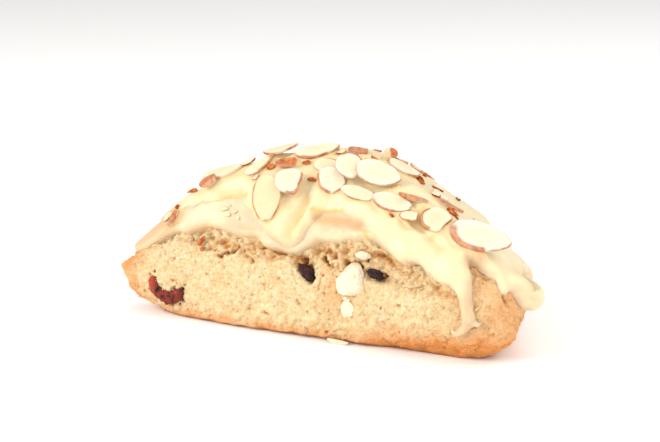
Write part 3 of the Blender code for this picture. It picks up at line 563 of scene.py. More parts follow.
def buildCrumb(angles, profiles):
    edge = ring(glazeEdge, angles)
    spread, points, normals = bodyGrid(angles, crumbWays(edge, profiles))
    height, around = points[..., 2], np.degrees(spread)
    below = edge[:, None] - height
    fade = smoothStep(height, 0.1, 2.2) * smoothStep(below, -2.5, 0.6)
    shift = sum(size * softNoise(points, scale, seed)
                for (scale, size), seed in ((crumb["lump"], 3), (crumb["swell"], 5)))
    warp = warped(points, 0.5, 1.7, 11)
    grain = sum(size * (np.abs(softNoise(warp, scale, 20 + index)) - 0.25)
                for index, (scale, size) in enumerate(crumb["grain"]))
    pit, tear, hollow = poreDepth(points), tearDepth(points, below), hollowShare(points)
    tornHeight = ring(crumb["tornBelow"], angles)[:, None] + 1.7 * softNoise(points, 3.4, 47)
    tornZone = smoothStep(height, tornHeight - 0.5, tornHeight + 0.8)
    shift -= crumb["recess"] * tornZone
    for angle, level, radius, size in crumb["knobs"]:
        shift += size * bump(lengthOf(points - sideSpot(angle, level)[0]), radius)
    cutSide = between(around, *crumb["cutSide"])
    rough = 0.65 + 0.3 * cutSide + crumb["tornRoughness"] * tornZone
    moved = points + normals * (fade * (shift + rough * grain - pit - tear) - hollow * 1.6)[..., None]
    flat = points * (1, 1, 0.2)
    moved[..., 2] += crumb["baseWaver"] * bump(height - 1.1, 2.2) * (0.5 + softNoise(flat, 4.5, 54))
    sideways = 0.5 * bump(height - 1.2, 2.0) * softNoise(flat, 3.2, 55)
    moved += normals * sideways[..., None] * (1, 1, 0)
    moved[..., 2] = np.maximum(moved[..., 2], 0.0)
    moved[:, 0, 2] = 0.0
    columns, rows = moved.shape[:2]
    ends = [[*body["centre"], body["crumbHeight"]], [*body["centre"], 0]]
    verts = np.concatenate([moved.reshape(-1, 3), ends])
    faces = bandFaces(columns, rows) + fanFaces(columns, rows, rows - 1, columns * rows)
    faces += fanFaces(columns, rows, 0, columns * rows + 1, flip=True)
    # painted shade in pores, grain hollows, tears, the torn band and the hollows round the fruit and chips
    pitShade = np.clip(2.0 * pit + 0.42 * tear - 0.9 * grain + 0.12 * tornZone - 0.06, 0, 0.95)
    pitShade = np.maximum(pitShade, 0.8 * hollow)
    # the bottom crust, darkened further as painted contact shadow along the foot
    crustAndContactShadow = 0.75 * (1 - smoothStep(height + 0.7 * softNoise(points, 3.0, 53), 0.2, 1.5))
    # painted shade in the deepest tears and hollows
    deepShade = np.maximum(0.9 * smoothStep(tear, 1.3, 2.6), 0.5 * smoothStep(hollow, 0.4, 1.0))
    loose = fade * smoothStep(below, 0.6, 1.6) * (0.25 + 0.75 * cutSide) * (1 - deepShade) * (hollow < 0.05)
    obj = meshFrom("crumbBody", verts, faces, materials["crumb"],
                   {"brownAndShade": browningAndShade(points, around), "pit": pitShade, "deepShade": deepShade, "loose": loose,
                    "crustAndContactShadow": crustAndContactShadow})
    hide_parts("scone")
    return obj


def sideSpot(angle, height):  # point on the side with its outward, sideways and upward directions
    turned = np.array([radians(angle)])
    way = Profiles(turned).wayAtHeight([height])[0]
    centre, out = bodyPoints(turned, way)[0], bodyNormals(turned, way)[0]
    across = np.cross((0, 0, 1), out)
    across /= np.linalg.norm(across)
    return centre, out, across, np.cross(out, across)


def lineDistance(points, line):  # distance to a line on the body given as angles and heights
    knots = np.array([sideSpot(*knot)[0] for knot in line])
    best = lengthOf(points - knots[0])
    for start, end in zip(knots[:-1], knots[1:]):
        run = end - start
        share = np.clip(((points - start) @ run) / (run @ run), 0, 1)
        best = np.minimum(best, lengthOf(points - start - share[..., None] * run))
    return best


angles = columnAngles(body["columns"])
profiles = Profiles(angles)
crumbObject = buildCrumb(angles, profiles)


def grainTree():  # lumpy grains scattered where the surface's "loose" value is high
    tree = bpy.data.node_groups.new("looseGrains", "GeometryNodeTree")
    for name, kind, way in (("Surface", "Geometry", "INPUT"), ("Grains per square metre", "Float", "INPUT"),
                            ("Smallest", "Float", "INPUT"), ("Largest", "Float", "INPUT"),
                            ("Seed", "Int", "INPUT"), ("Grains", "Geometry", "OUTPUT")):
        tree.interface.new_socket(name, in_out=way, socket_type="NodeSocket" + kind)
    given = tree.nodes.new("NodeGroupInput").outputs

    def add(kind, inputs, output=None, **settings):  # a node, and its first live output
        made = addNode(tree, kind, inputs, **settings)
        return made.outputs[output] if output else next(socket for socket in made.outputs if socket.enabled)

    loose = add("GeometryNodeInputNamedAttribute", {"Name": "loose"}, data_type="FLOAT")
    density = add("ShaderNodeMath", {0: loose, 1: given["Grains per square metre"]}, operation="MULTIPLY")
    spots = add("GeometryNodeDistributePointsOnFaces",
                {"Mesh": given["Surface"], "Density": density, "Seed": given["Seed"]})
    texture = add("ShaderNodeTexNoise", {"Scale": 1.1}, "Color")
    centred = add("ShaderNodeVectorMath", {0: texture, 1: (0.5, 0.5, 0.5)}, operation="SUBTRACT")
    push = add("ShaderNodeVectorMath", {0: centred, "Scale": 1.6}, operation="SCALE")
    ball = add("GeometryNodeMeshIcoSphere", {"Subdivisions": 2})
    lumpy = add("GeometryNodeSetPosition", {"Geometry": ball, "Offset": push})
    size = add("FunctionNodeRandomValue",
               {"Min": given["Smallest"], "Max": given["Largest"], "Seed": given["Seed"]}, data_type="FLOAT")
    turn = add("FunctionNodeRandomValue", {"Max": (2 * pi, 2 * pi, 2 * pi), "Seed": given["Seed"]},
               data_type="FLOAT_VECTOR")
    squash = add("FunctionNodeRandomValue", {"Min": (0.7, 0.7, 0.6), "Max": (1.3, 1.1, 1.0)},
                 data_type="FLOAT_VECTOR")
    scaled = add("ShaderNodeVectorMath", {0: squash, "Scale": size}, operation="SCALE")
    placed = add("GeometryNodeInstanceOnPoints",
                 {"Points": spots, "Instance": lumpy, "Rotation": turn, "Scale": scaled})
    real = add("GeometryNodeRealizeInstances", {"Geometry": placed})
    addNode(tree, "NodeGroupOutput",
            {"Grains": add("GeometryNodeSetMaterial", {"Geometry": real, "Material": materials["crumb"]})})
    return tree


def buildGrains():
    worker = added("grainWork", crumbObject.data.copy())
    scatter = worker.modifiers.new("grains", "NODES")
    scatter.node_group = grainTree()
    smallest, largest = crumb["grainSize"]
    values = {"Grains per square metre": crumb["grainsPerSquare"] * 1e6, "Smallest": smallest * 0.001,
              "Largest": largest * 0.001, "Seed": crumb["grainSeed"]}
    for item in scatter.node_group.interface.items_tree:
        if item.name in values and item.in_out == "INPUT":
            scatter[item.identifier] = values[item.name]
    mesh = plainMesh(worker)
    mesh.shade_smooth()
    grains = added("crumbGrains", mesh)
    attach(grains, "root")
    print("loose grains:", len(mesh.polygons), "faces")


buildGrains()
print("crumb made")

almonds = {
    "lower": 0.15, "halfThickness": 0.38, "outline": 6, "waver": 0.22,
    "rings": (0.15, 0.45, 0.7, 0.8, 0.88, 0.925, 0.955, 0.985), "skinUp": (2, 5, 13, 16, 17, 21, 25),
    "cream": {3: 1.0, 4: 0.55, 10: 0.35, 23: 0.1, 11: 0.2, 22: 0.5, 18: 0.9, 8: 0.15},
    # slices with a wide strip of skin: outward x and y of that side, how near the rim it starts
    "bands": {3: (-0.85, -0.5, 0.955), 23: (-0.33, -0.94, 0.80), 12: (-0.33, -0.94, 0.88),
        8: (-0.6, -0.8, 0.88), 4: (0.94, -0.33, 0.83), 6: (0.94, -0.33, 0.9), 15: (0.3, -0.95, 0.9),
        9: (0.0, 1.0, 0.86), 10: (-0.2, -1.0, 0.86), 18: (0.9, 0.43, 0.1), 22: (-0.9, -0.4, 0.88),
        24: (-0.4, -0.9, 0.9), 7: (0.5, 0.85, 0.9), 30: (0.4, 0.9, 0.86), 33: (-0.9, 0.4, 0.86)},
    "rim": {3: 0.6, 18: 0.9, 12: 1.0, 23: 1.0},
}
# the rings of a closed slice from the middle of one face over the rim to the other: share out, level
shellRings = [(share, 1.0) for share in almonds["rings"]] + [(1.0, 0.6), (1.006, 0.0), (1.0, -0.6)]
shellRings += [(share, -1.0) for share in reversed(almonds["rings"])]


def hullOf(flat):  # convex outline of points in a plane, in order
    order = flat[np.lexsort((flat[:, 1], flat[:, 0]))]
    turn = lambda a, b, c: (b[0] - a[0]) * (c[1] - a[1]) - (b[1] - a[1]) * (c[0] - a[0])
    chains = []
    for points in (order, order[::-1]):
        chain = []
        for point in points:
            while len(chain) > 1 and turn(chain[-2], chain[-1], point) <= 1e-6:
                chain.pop()
            chain.append(point)
        chains += chain[:-1]
    return np.array(chains)


def closedCurve(knots, steps):
    count = len(knots)
    line = []
    for index in range(count):
        before, start, end, after = (knots[(index + shift) % count] for shift in (-1, 0, 1, 2))
        line += [hermite(step / steps, start, (end - before) / 2, end, (after - start) / 2)
                 for step in range(steps)]
    return np.array(line)


def thinShell(outline, heightAt, half, skinUp, rim=0.85, shade=1.0):
    # a closed slice as points, faces and each point's share of skin
    middle = outline.mean(0)
    verts, skin = [], []
    for share, level in shellRings:
        flat = middle + (outline - middle) * share
        verts.append(np.column_stack([flat, heightAt(flat) + half * level]))
        edge = 1.0 if share > 0.99 else rim if share > 0.97 else 0.5 * rim if share > 0.94 else 0.0
        skin.append(np.ones(len(flat)) if skinUp and level > 0 else np.ones(len(flat)) * edge * shade)
    verts.append(np.array([[*middle, float(heightAt(middle[None])[0]) + half * sign] for sign in (1, -1)]))
    sides, rings = len(outline), len(shellRings)
    faces = []
    for row in range(rings - 1):
        for side in range(sides):
            a, b = row * sides + side, row * sides + (side + 1) % sides
            faces.append((a, a + sides, b + sides, b))
    for side in range(sides):
        following = (side + 1) % sides
        faces.append((side, following, rings * sides))
        faces.append(((rings - 1) * sides + following, (rings - 1) * sides + side, rings * sides + 1))
    skin = np.append(np.concatenate(skin), [1.0 if skinUp else 0.0, 0.0])
    return np.concatenate(verts), faces, skin


def buildSlice(name):
    points, _ = nodeShape(name)
    centre = points.mean(0)
    _, _, axes = np.linalg.svd(points - centre)
    normal = axes[2] * (1 if axes[2][2] > 0 else -1)
    along = axes[0]
    across = np.cross(normal, along)
    local = (points - centre) @ np.stack([along, across, normal], 1)
    design = lambda flat: np.stack([np.ones(len(flat)), flat[:, 0], flat[:, 1], flat[:, 0] ** 2,
                                    flat[:, 0] * flat[:, 1], flat[:, 1] ** 2], -1)
    bend = np.linalg.lstsq(design(local[:, :2]), local[:, 2], rcond=None)[0]
    outline = closedCurve(hullOf(local[:, :2]), almonds["outline"])
    number = int(name[-2:])
    spots = np.column_stack([outline, np.full(len(outline), number * 3.7)])
    outward = outline - outline.mean(0)
    outward /= lengthOf(outward)[:, None]
    waver = softNoise(spots, 2.6, number) + 0.4 * softNoise(spots, 1.0, number + 50)
    outline = outline + outward * (almonds["waver"] * waver)[:, None]
    shade = 0.3 + 0.7 * smoothStep(softNoise(spots, 4.5, number + 9), -0.25, 0.3)
    local, faces, skin = thinShell(outline, lambda flat: design(flat) @ bend, almonds["halfThickness"],
                                   number in almonds["skinUp"], almonds["rim"].get(number, 0.85), shade)
    placed = centre + local @ np.stack([along, across, normal]) - normal * almonds["lower"]
    level = np.append(np.repeat([share for share, _ in shellRings], len(outline)), [0, 0])
    if number in almonds["bands"]:
        x, y, start = almonds["bands"][number]
        away = placed[:, :2] - placed.mean(0)[:2]
        facing = (away @ (x, y)) / np.maximum(lengthOf(away), 1e-6)
        skin = np.maximum(skin, smoothStep(facing, 0.35, 0.6) * (level >= start - 0.03))
    skin = skin * (0.8 + 0.2 * softNoise(placed, 2.5, number))
    cream = almonds["cream"].get(number, 0.15 + (number * 37 % 10) / 22)
    cream = cream + 0.35 * (1 - smoothStep(level, 0.5, 0.85))
    obj = meshFrom(f"slice{name[-2:]}", placed, faces, materials["almond"],
                   {"skin": skin, "cream": cream})
    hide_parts(name)
    return placed, faces


def treeOf(parts):  # one search tree over several lists of points and faces
    spots, polygons = [], []
    for points, faces in parts:
        polygons += [[index + len(spots) for index in face] for face in faces]
        spots += [tuple(point) for point in points]
    return BVHTree.FromPolygons(spots, polygons)


sliceParts = [buildSlice(name) for name in sorted(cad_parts) if name.startswith("almond")]
sliceTree = treeOf(sliceParts)
print("almond slices made")

# The icing: a thin first coat with its own edge, a thicker pour above it, runs and folds
icing = {
    "gap": 0.35, "glaze": 0.95, "runSwell": 0.8, "flow": 2.6, "swell": 0.6, "sink": 3.2, "tuckIn": 4.0,
    "lipWidth": 1.1, "flowLip": 2.8, "overhang": 0.55,
    # ridges and hollows of the pour on the front: angles and heights along each, half width, height
    "ridges": ((((-126, 33.5), (-118, 32.0), (-112.5, 29.0)), 2.7, 2.1),
        (((-97, 38.5), (-100, 34.0), (-101.5, 28.4)), 2.1, 1.5),
        (((-125, 44.6), (-90, 42.0), (-66, 38.8), (-50, 35.0), (-42, 30.0)), 3.0, 0.9),
        (((-150, 43.0), (-147.5, 40.5), (-143, 37.6)), 2.4, 0.8),
        (((-156, 36.2), (-152, 37.2), (-148, 38.2)), 2.2, 0.8),
        (((-26, 40.0), (-28, 35.7), (-30.2, 29.0), (-31.7, 23.0)), 2.6, 0.7),
        (((-25.5, 33.5), (-24.5, 28.0)), 2.4, 0.6), (((-38, 39.5), (-37, 35.0), (-38, 30.0)), 2.6, 0.7),
        (((-80, 31.2), (-68, 31.6), (-60, 31.8)), 1.2, 0.5),
        (((-88, 33.0), (-78, 33.2), (-70, 33.6)), 0.9, 0.45),
        (((-22, 21), (-17, 17), (-8, 17)), 4.5, -1.5),
        (((-84, 30.4), (-79, 32.2), (-76, 30.6)), 0.7, 0.4), (((-72, 32.4), (-66, 33.0)), 0.7, 0.35),
        (((-140, 31.4), (-136, 33.6), (-133, 37.0)), 1.3, 0.5),
        (((-153, 29.0), (-146, 31.6), (-140, 31.0)), 1.8, 0.45)),
    "hollows": ((((-106.5, 36.0), (-105.6, 28.6)), 1.6, 1.5), (((-36.5, 33.6), (-35.5, 34.2)), 2.2, 1.4),
        (((-31.5, 33.7), (-31.5, 34.4)), 2.4, 1.7), (((-32.5, 37.0), (-28, 37.4)), 1.6, 0.8),
        (((-33.4, 30.8), (-33.2, 29.0)), 1.5, 0.9),
        (((-157, 35.0), (-152, 35.6), (-147, 36.4)), 1.5, 0.9), (((-84, 32.0), (-72, 32.4)), 1.2, 0.5),
        (((-96, 44.2), (-70, 42.6)), 1.8, 0.5)),
    # colour along lines on the front: the line, radius, strength; the first table is the thin glaze's tint
    # with painted shade under the pour's lip, the second is painted shade in creases and dimples
    "glazeTintAndShade": ((((-92, 33.0), (-80, 32.9), (-68, 33.0), (-60, 32.2)), 1.6, 0.8),
        (((-31.4, 9.5), (-31.2, 18)), 2.4, 0.4), (((-150, 26.4), (-140, 28.4), (-130, 27.8)), 2.2, 0.5),
        (((-157, 22), (-156, 28)), 5.0, 0.75), (((-130, 28.4), (-120, 27.4), (-110, 26.2)), 1.8, 0.3),
        (((-29, 26.8), (-26, 26.6)), 1.4, 0.4), (((-16, 20), (-10, 19)), 4.0, 0.4)),
    "paintedShade": ((((-97, 34.4), (-85, 34.8), (-73, 35.2)), 0.7, 0.7),
        (((-151, 35.2), (-148, 36.0), (-145, 36.4)), 0.7, 0.6), (((-35.5, 33.6),), 1.4, 0.6),
        (((-31.5, 33.9),), 1.8, 0.75), (((-32, 35.7), (-29, 36.2)), 1.1, 0.6),
        (((-33.2, 30.8),), 1.1, 0.6), (((-59, 31.6), (-56, 30.4)), 0.6, 0.8),
        (((-106, 34), (-105.4, 28.6)), 0.7, 0.6)),
    "seatStart": 1.6, "seatReach": 4.6, "seatAbove": 20.0, "seatFade": (1.1, 1.9), "seatSpread": 9,
    # the first two: reach and strength of the painted shadow round the slices
    "sliceShadowReach": 2.4, "warm": 0.42, "rowsBelow": 30, "rowsLip": 44, "rowsTop": 44, "reachBelow": 15.0,
    "lipBand": 15.0,
    "folds": ((19.0, 21.6, 33.0, 13.6, 2.6, 0.9), (-7.0, 29.6, 7.0, 23.6, 2.6, 0.9),
        (-35.0, 5.6, -21.0, 19.6, 2.4, 0.8), (59.0, -18.8, 60.8, -6.0, 3.1, 2.9)),
    # runs down the side: angle, height and half width from the top to the foot
    "runs": (((-31.4, 26.0, 2.7), (-31.3, 21.0, 2.1), (-31.2, 16.0, 1.6), (-31.0, 12.0, 1.5),
        (-31.6, 9.6, 1.2), (-32.4, 8.7, 0.9), (-33.3, 9.2, 0.55)),
        ((-30.9, 14.5, 1.4), (-30.2, 12.8, 1.2), (-29.2, 12.0, 0.8), (-27.6, 12.1, 0.4)),
        ((-23.2, 25.4, 1.4), (-24.2, 21.2, 0.8)), ((66, 19, 2.2), (66, 13, 1.7), (66, 9, 2.3)),
        ((108, 22, 2.2), (107.5, 16, 1.8), (107, 12.4, 2.2)),
        ((12, 18, 2.0), (12.6, 13, 1.6), (13, 9.8, 2.1)),
        ((164, 21, 2.0), (163.4, 16, 1.5), (163, 13, 2.0))),
}


def edgeLine(table, step=0.08):  # dense points of an edge given as {angle: height}
    dense = np.radians(np.arange(-180, 180, step))
    return bodyPoints(dense, Profiles(dense, 120).wayAtHeight(ring(table, dense)))


def runReach(points, run):  # how far inside a run each point is; negative outside
    best = np.full(points.shape[:-1], -9.0)
    table = np.array(run, float)
    for start, end in zip(table[:-1], table[1:]):
        for share in np.linspace(0, 1, 14):
            angle, height, width = start + (end - start) * share
            centre = sideSpot(angle, height)[0]
            best = np.maximum(best, width - lengthOf(points - centre))
    return best


def lip(depth, width):  # quarter-round profile
    share = np.clip(depth / width, 0, 1)
    return np.sqrt(np.maximum(0, 1 - (1 - share) ** 2))


def foldHeight(points):
    x, y = points[..., 0] - body["centre"][0], points[..., 1] - body["centre"][1]
    total = np.zeros(x.shape)
    for x1, y1, x2, y2, halfWidth, height in icing["folds"]:
        length = hypot(x2 - x1, y2 - y1)
        share = np.clip(((x - x1) * (x2 - x1) + (y - y1) * (y2 - y1)) / length ** 2, 0, 1)
        away = np.hypot(x - x1 - share * (x2 - x1), y - y1 - share * (y2 - y1))
        total += height * bump(away, 2 * halfWidth)
    near = (y < 4) & (points[..., 2] > 18)
    dips = np.zeros(x.shape)
    for line, halfWidth, height in icing["ridges"]:
        total[near] += height * bump(lineDistance(points[near], line), 2 * halfWidth)
    for line, halfWidth, depth in icing["hollows"]:
        dips[near] += depth * bump(lineDistance(points[near], line), 1.8 * halfWidth)
    return total - dips, dips


def seatShift(outer, normals):  # how far the surface moves to meet the undersides of the slices on it
    shift, known = np.zeros(outer.shape[:2]), np.zeros(outer.shape[:2], bool)
    for column, row in zip(*np.nonzero(outer[..., 2] > icing["seatAbove"])):
        spot, up = outer[column, row], normals[column, row]
        away = sliceTree.ray_cast(Vector(spot - up * icing["seatStart"]), Vector(up), icing["seatReach"])[3]
        if away is not None:
            away -= icing["seatStart"]
            known[column, row] = True
            shift[column, row] = (away + 0.08) * (1 - smoothStep(away, *icing["seatFade"]))
    spread = shift.copy()
    for _ in range(icing["seatSpread"]):
        up, down = np.roll(spread, 1, axis=1), np.roll(spread, -1, axis=1)
        up[:, 0], down[:, -1] = spread[:, 0], spread[:, -1]
        around = (np.roll(spread, 1, axis=0) + np.roll(spread, -1, axis=0) + up + down) / 4
        spread = np.where(known, shift, 0.95 * around)
    for _ in range(2):
        spread[:, 1:-1] = (spread[:, :-2] + spread[:, 2:] + np.roll(spread, 1, axis=0)[:, 1:-1]
                           + np.roll(spread, -1, axis=0)[:, 1:-1] + 2 * spread[:, 1:-1]) / 6
    return spread


def nearSlices(outer):  # 1 against a slice, fading to 0 at the reach of the painted shadow round it
    share = np.zeros(outer.shape[:2])
    for column, row in zip(*np.nonzero(outer[..., 2] > icing["seatAbove"])):
        away = sliceTree.find_nearest(Vector(outer[column, row]), icing["sliceShadowReach"])[3]
        if away is not None:
            share[column, row] = 1 - away / icing["sliceShadowReach"]
    return share


def tintOf(kind, points):  # how much of a colour the pour has, from that colour's lines
    tint = np.zeros(points.shape[:2])
    near = (points[..., 1] < 4) & (points[..., 2] > 5)
    ragged = 0.5 * softNoise(points[near], 2.4, 66) + 0.3 * softNoise(points[near], 1.0, 67)
    for line, radius, strength in icing[kind]:
        reach = bump(lineDistance(points[near], line) + ragged, 1.7 * radius)
        tint[near] = np.maximum(tint[near], strength * reach)
    return tint


def icingWays(edge, profiles):  # rows below the edge, in the band above it and on to the crown
    edgeLength = profiles.lengthAtHeight(softened(edge))
    start = edgeLength + icing["lipBand"]
    below = np.linspace(-icing["reachBelow"], 0, icing["rowsBelow"], endpoint=False)[None]
    band = np.linspace(0, icing["lipBand"], icing["rowsLip"], endpoint=False)[None]
    upper = (profiles.walked[:, -1] - start)[:, None] * np.linspace(0, 1, icing["rowsTop"] + 1)[None, :-1]
    lengths = np.concatenate([below + edgeLength[:, None], band + edgeLength[:, None],
                              start[:, None] + upper], axis=1)
    lengths = np.maximum(lengths, 1.0) + np.arange(lengths.shape[1])[None] * 1e-4
    return profiles.waysAt(np.maximum.accumulate(lengths, axis=1))


def edgeDepth(points, angles, table, reach, wanted=True):  # distance inside an edge, negative outside
    height, edge = points[..., 2], ring(table, angles)[:, None]
    near = (np.abs(height - edge) < reach) & wanted
    depth = np.full(height.shape, 12.0)
    depth[near] = distanceTo(edgeLine(table), points[near])
    return depth * np.where(height > edge, 1, -1)


def withRuns(points, depth, ripple):  # the depth with the runs joined on, and how much they swell
    swelling = np.zeros(depth.shape)
    for run in icing["runs"]:
        close = lengthOf(points - sideSpot(*run[len(run) // 2][:2])[0]) < 26
        reach = runReach(points[close], run) + 0.5 * ripple[close]
        blend = np.maximum(0, 1.6 - np.abs(depth[close] - reach)) / 1.6
        depth[close] = np.maximum(depth[close], reach) + blend ** 2 * 0.4
        swelling[close] = np.maximum(swelling[close], lip(reach, 1.6))
    return depth, swelling


def buildIcing(angles, profiles):
    edge = ring(glazeEdge, angles)
    points, normals = bodyGrid(angles, icingWays(edge, profiles))[1:]
    ripple = 0.35 * softNoise(points, 3.2, 61) + 0.15 * softNoise(points, 1.4, 62)
    depth, swelling = withRuns(points, edgeDepth(points, angles, glazeEdge, 14) + ripple, ripple)
    flowDepth = edgeDepth(points, angles, flowEdge, 12, depth > -1) + 1.5 * ripple
    folds, dips = foldHeight(points)
    thick = icing["flow"] + icing["swell"] * softNoise(points, 19, 63) + folds
    thick += 0.32 * softNoise(points, 8, 64)
    thick += 0.13 * softNoise(points * (1, 1, 0.6), 3.4, 65)
    flow = lip(flowDepth + 0.2, icing["flowLip"])
    height = icing["glaze"] + (np.maximum(1.3, thick) - icing["glaze"]) * flow + icing["gap"]
    height += icing["runSwell"] * swelling * (1 - flow)
    raised = height * lip(depth, icing["lipWidth"] * (0.7 + 0.35 * height))
    sunk = -icing["sink"] * smoothStep(-depth, 0.0, 0.7)
    inward = (np.array([*body["centre"], 0]) - points) * (1, 1, 0)
    inward /= np.maximum(np.linalg.norm(inward, axis=-1, keepdims=True), 1e-6)
    outer = points + normals * np.where(depth > 0, raised, sunk)[..., None]
    outer += inward * (icing["tuckIn"] * smoothStep(-depth, 0.8, 3.2))[..., None]
    overhang = icing["overhang"] * flow * (1 - smoothStep(flowDepth, 1.0, 5.0)) * (depth > 0)
    overhang *= smoothStep((ring(flowEdge, angles) - edge)[:, None], 1.0, 4.0)
    outer[..., 2] -= overhang
    outer = outer + normals * (seatShift(outer, normals) * (depth > 0.8))[..., None]
    columns, rows = outer.shape[:2]
    innerRows = 6
    pick = np.linspace(0, rows - 1, innerRows).astype(int)
    inner = points[:, pick] - normals[:, pick] * (icing["sink"] + 1.2)
    inner += inward[:, pick] * (icing["tuckIn"] * smoothStep(-depth[:, pick], 0.8, 3.2))[..., None]
    count = columns * rows
    crown = body["crumbHeight"]
    verts = np.concatenate([outer.reshape(-1, 3), inner.reshape(-1, 3),
                            [[*body["centre"], crown + icing["gap"] + icing["flow"]],
                             [*body["centre"], crown - icing["sink"]]]])
    faces = bandFaces(columns, rows) + fanFaces(columns, rows, rows - 1, len(verts) - 2)
    faces += bandFaces(columns, innerRows, count, flip=True)
    faces += fanFaces(columns, innerRows, innerRows - 1, len(verts) - 1, count, flip=True)
    here, there = np.arange(columns), (np.arange(columns) + 1) % columns
    faces += np.stack([here * rows, count + here * innerRows, count + there * innerRows, there * rows],
                      -1).tolist()
    thickTint = np.clip(flow * smoothStep(depth, 0.2, 2.2), 0, 1)
    # painted shade in the hollows of the pour and along the listed crease lines
    paintedShade = np.maximum(np.clip(0.3 * dips, 0, 0.5), tintOf("paintedShade", points))
    # painted shadow round the slices on top
    paintedShade = np.maximum(paintedShade, icing["warm"] * nearSlices(outer))
    # the thin glaze's beige tint, with painted shade in the cave under the pour's lip
    glazeTintAndShade = tintOf("glazeTintAndShade", points)
    obj = meshFrom("icingCoat", verts, faces, materials["icing"],
                   {"thick": thickTint, "paintedShade": paintedShade, "glazeTintAndShade": glazeTintAndShade})
    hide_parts("icing")
    return obj


icingObject = buildIcing(angles, profiles)
print("icing made")

bits = {
    "halfThickness": 0.32, "knots": 9, "steps": 4,
    # on top: x and y from the middle of the plan, heading, length, width, lean, rise, skin up, cream
    "top": ((-27.5, -12.4, 12, 4.6, 2.4, 28, 14, 0, 0.3), (-19.3, -14.6, 20, 3.0, 1.6, 10, 0, 1, 0),
        (-9.4, -9.6, 15, 2.8, 1.3, 40, 5, 1, 0), (-5.6, -15.2, -8, 3.4, 1.2, 55, 0, 1, 0),
        (15.7, -13.9, 10, 3.4, 1.8, 8, 0, 0, 0.2), (29.0, -7.4, -38, 4.4, 2.0, 58, 0, 0, 0.4),
        (36.4, -12.4, 5, 3.4, 1.3, 35, 0, 1, 0), (38.6, -14.0, -30, 2.6, 1.2, 15, 0, 0, 0.5),
        (34.8, -9.0, 25, 2.2, 1.2, 20, 0, 1, 0), (40.4, -21.6, 35, 3.2, 1.7, 15, 0, 1, 0),
        (41.8, -20.6, 80, 2.6, 1.3, 25, 0, 0, 0.6), (-43.6, -18.4, 30, 3.6, 1.2, 60, 0, 1, 0),
        (-46.9, -22.0, 50, 1.8, 0.9, 20, 0, 1, 0), (-49.4, -23.0, 40, 3.8, 1.5, 55, 0, 0, 0.5),
        (21.6, -1.4, -20, 4.2, 1.8, 55, 0, 1, 0), (22.0, -19.1, -50, 2.0, 1.0, 20, 0, 1, 0),
        (-24.6, -15.6, 65, 2.6, 1.0, 30, 0, 0, 0.6), (2.4, -8.0, 35, 3.0, 1.6, 20, 0, 0, 0.5),
        (8.6, -5.6, 0, 3.4, 1.2, 50, 0, 1, 0), (-2.0, -4.6, -20, 3.8, 2.0, 25, 6, 0, 0.8),
        (-13.0, -7.0, 10, 3.2, 1.5, 30, 0, 1, 0), (26.0, 2.0, 30, 3.6, 2.0, 10, 0, 0, 0.4),
        (-30.0, -6.0, -15, 3.2, 1.6, 10, 0, 0, 0.9), (10.0, 9.0, 50, 3.4, 1.6, 12, 0, 0, 0.5),
        (-16.0, 8.0, 15, 2.8, 1.3, 30, 0, 1, 0), (38.0, 2.0, -30, 3.0, 1.6, 8, 0, 0, 0.7),
        (-6.0, 17.0, -40, 3.6, 1.9, 18, 0, 0, 0.3), (14.0, 14.0, 20, 3.2, 1.8, 12, 0, 0, 0.6),
        (20.0, 6.5, 70, 2.6, 1.2, 30, 0, 1, 0), (2.0, 12.5, -15, 4.0, 2.2, 8, 0, 0, 0.4),
        (-12.0, 13.0, 60, 2.8, 1.1, 35, 0, 1, 0), (-22.0, 4.0, 25, 3.6, 1.9, 12, 0, 0, 0.7),
        (30.0, 8.0, -50, 2.4, 1.3, 20, 0, 0, 0.5), (5.0, 22.0, 35, 3.0, 1.7, 10, 0, 0, 0.8),
        (-30.0, 2.0, -60, 2.4, 1.0, 30, 0, 1, 0)),
    # on the side: angle, height, turn from level, length, width, lift off the surface, skin, cream
    "side": ((-145.2, 23.9, 68, 3.6, 1.1, 0.5, 1, 0), (-143.4, 21.8, 40, 1.6, 0.8, 0.3, 1, 0)),
    # flakes of the first coat on top and white shreds on the side, placed in the same ways
    "topFlakes": ((-31.4, -21.4, 25, 2.8, 0.9, 42, 0), (-29.6, -22.3, -8, 2.0, 1.3, 15, 0),
        (-27.6, -21.7, 50, 1.5, 0.6, 55, 0), (-29.9, -20.7, -30, 1.1, 0.5, 35, 0),
        (-25.9, -22.8, 12, 1.0, 0.8, 20, 0)),
    "shreds": ((-67.6, 11.0, 84, 5.6, 4.0, -0.08), (-68.6, 14.0, 10, 1.3, 0.9, 0.3),
        (-67.0, 13.6, 50, 1.1, 0.8, 0.3), (-73.0, 1.3, -4, 6.2, 1.5, 0.9),
        (-22.6, 22.8, 70, 2.6, 1.4, 0.5)),
    "stepsAside": (0.7, 1.4, 2.1, 2.8, 3.5),
}


def bitOutline(length, width, seed):
    turn = np.arange(bits["knots"]) * 2 * pi / bits["knots"]
    draw = np.random.default_rng(seed).uniform(0.72, 1.12, bits["knots"])
    knots = np.stack([length / 2 * np.cos(turn) * draw, width / 2 * np.sin(turn) * draw], -1)
    return closedCurve(knots, bits["steps"])


def turned(vector, axis, angle):
    return np.array(Matrix.Rotation(radians(angle), 3, Vector(axis)) @ Vector(vector))


def bitShape(spot, up, heading, length, width, lean, rise, skin, seed):
    along = heading - up * (heading @ up)
    along /= np.linalg.norm(along)
    across = np.cross(up, along)
    along, up = turned(along, across, -rise), turned(up, across, -rise)
    across, up = turned(across, along, lean), turned(up, along, lean)
    curve = 0.05 * length
    local, faces, skinShare = thinShell(bitOutline(length, width, seed),
                                        lambda flat: curve * (1 - (2 * flat[:, 0] / length) ** 2),
                                        bits["halfThickness"], bool(skin))
    return spot + local @ np.stack([along, across, up]), faces, skinShare


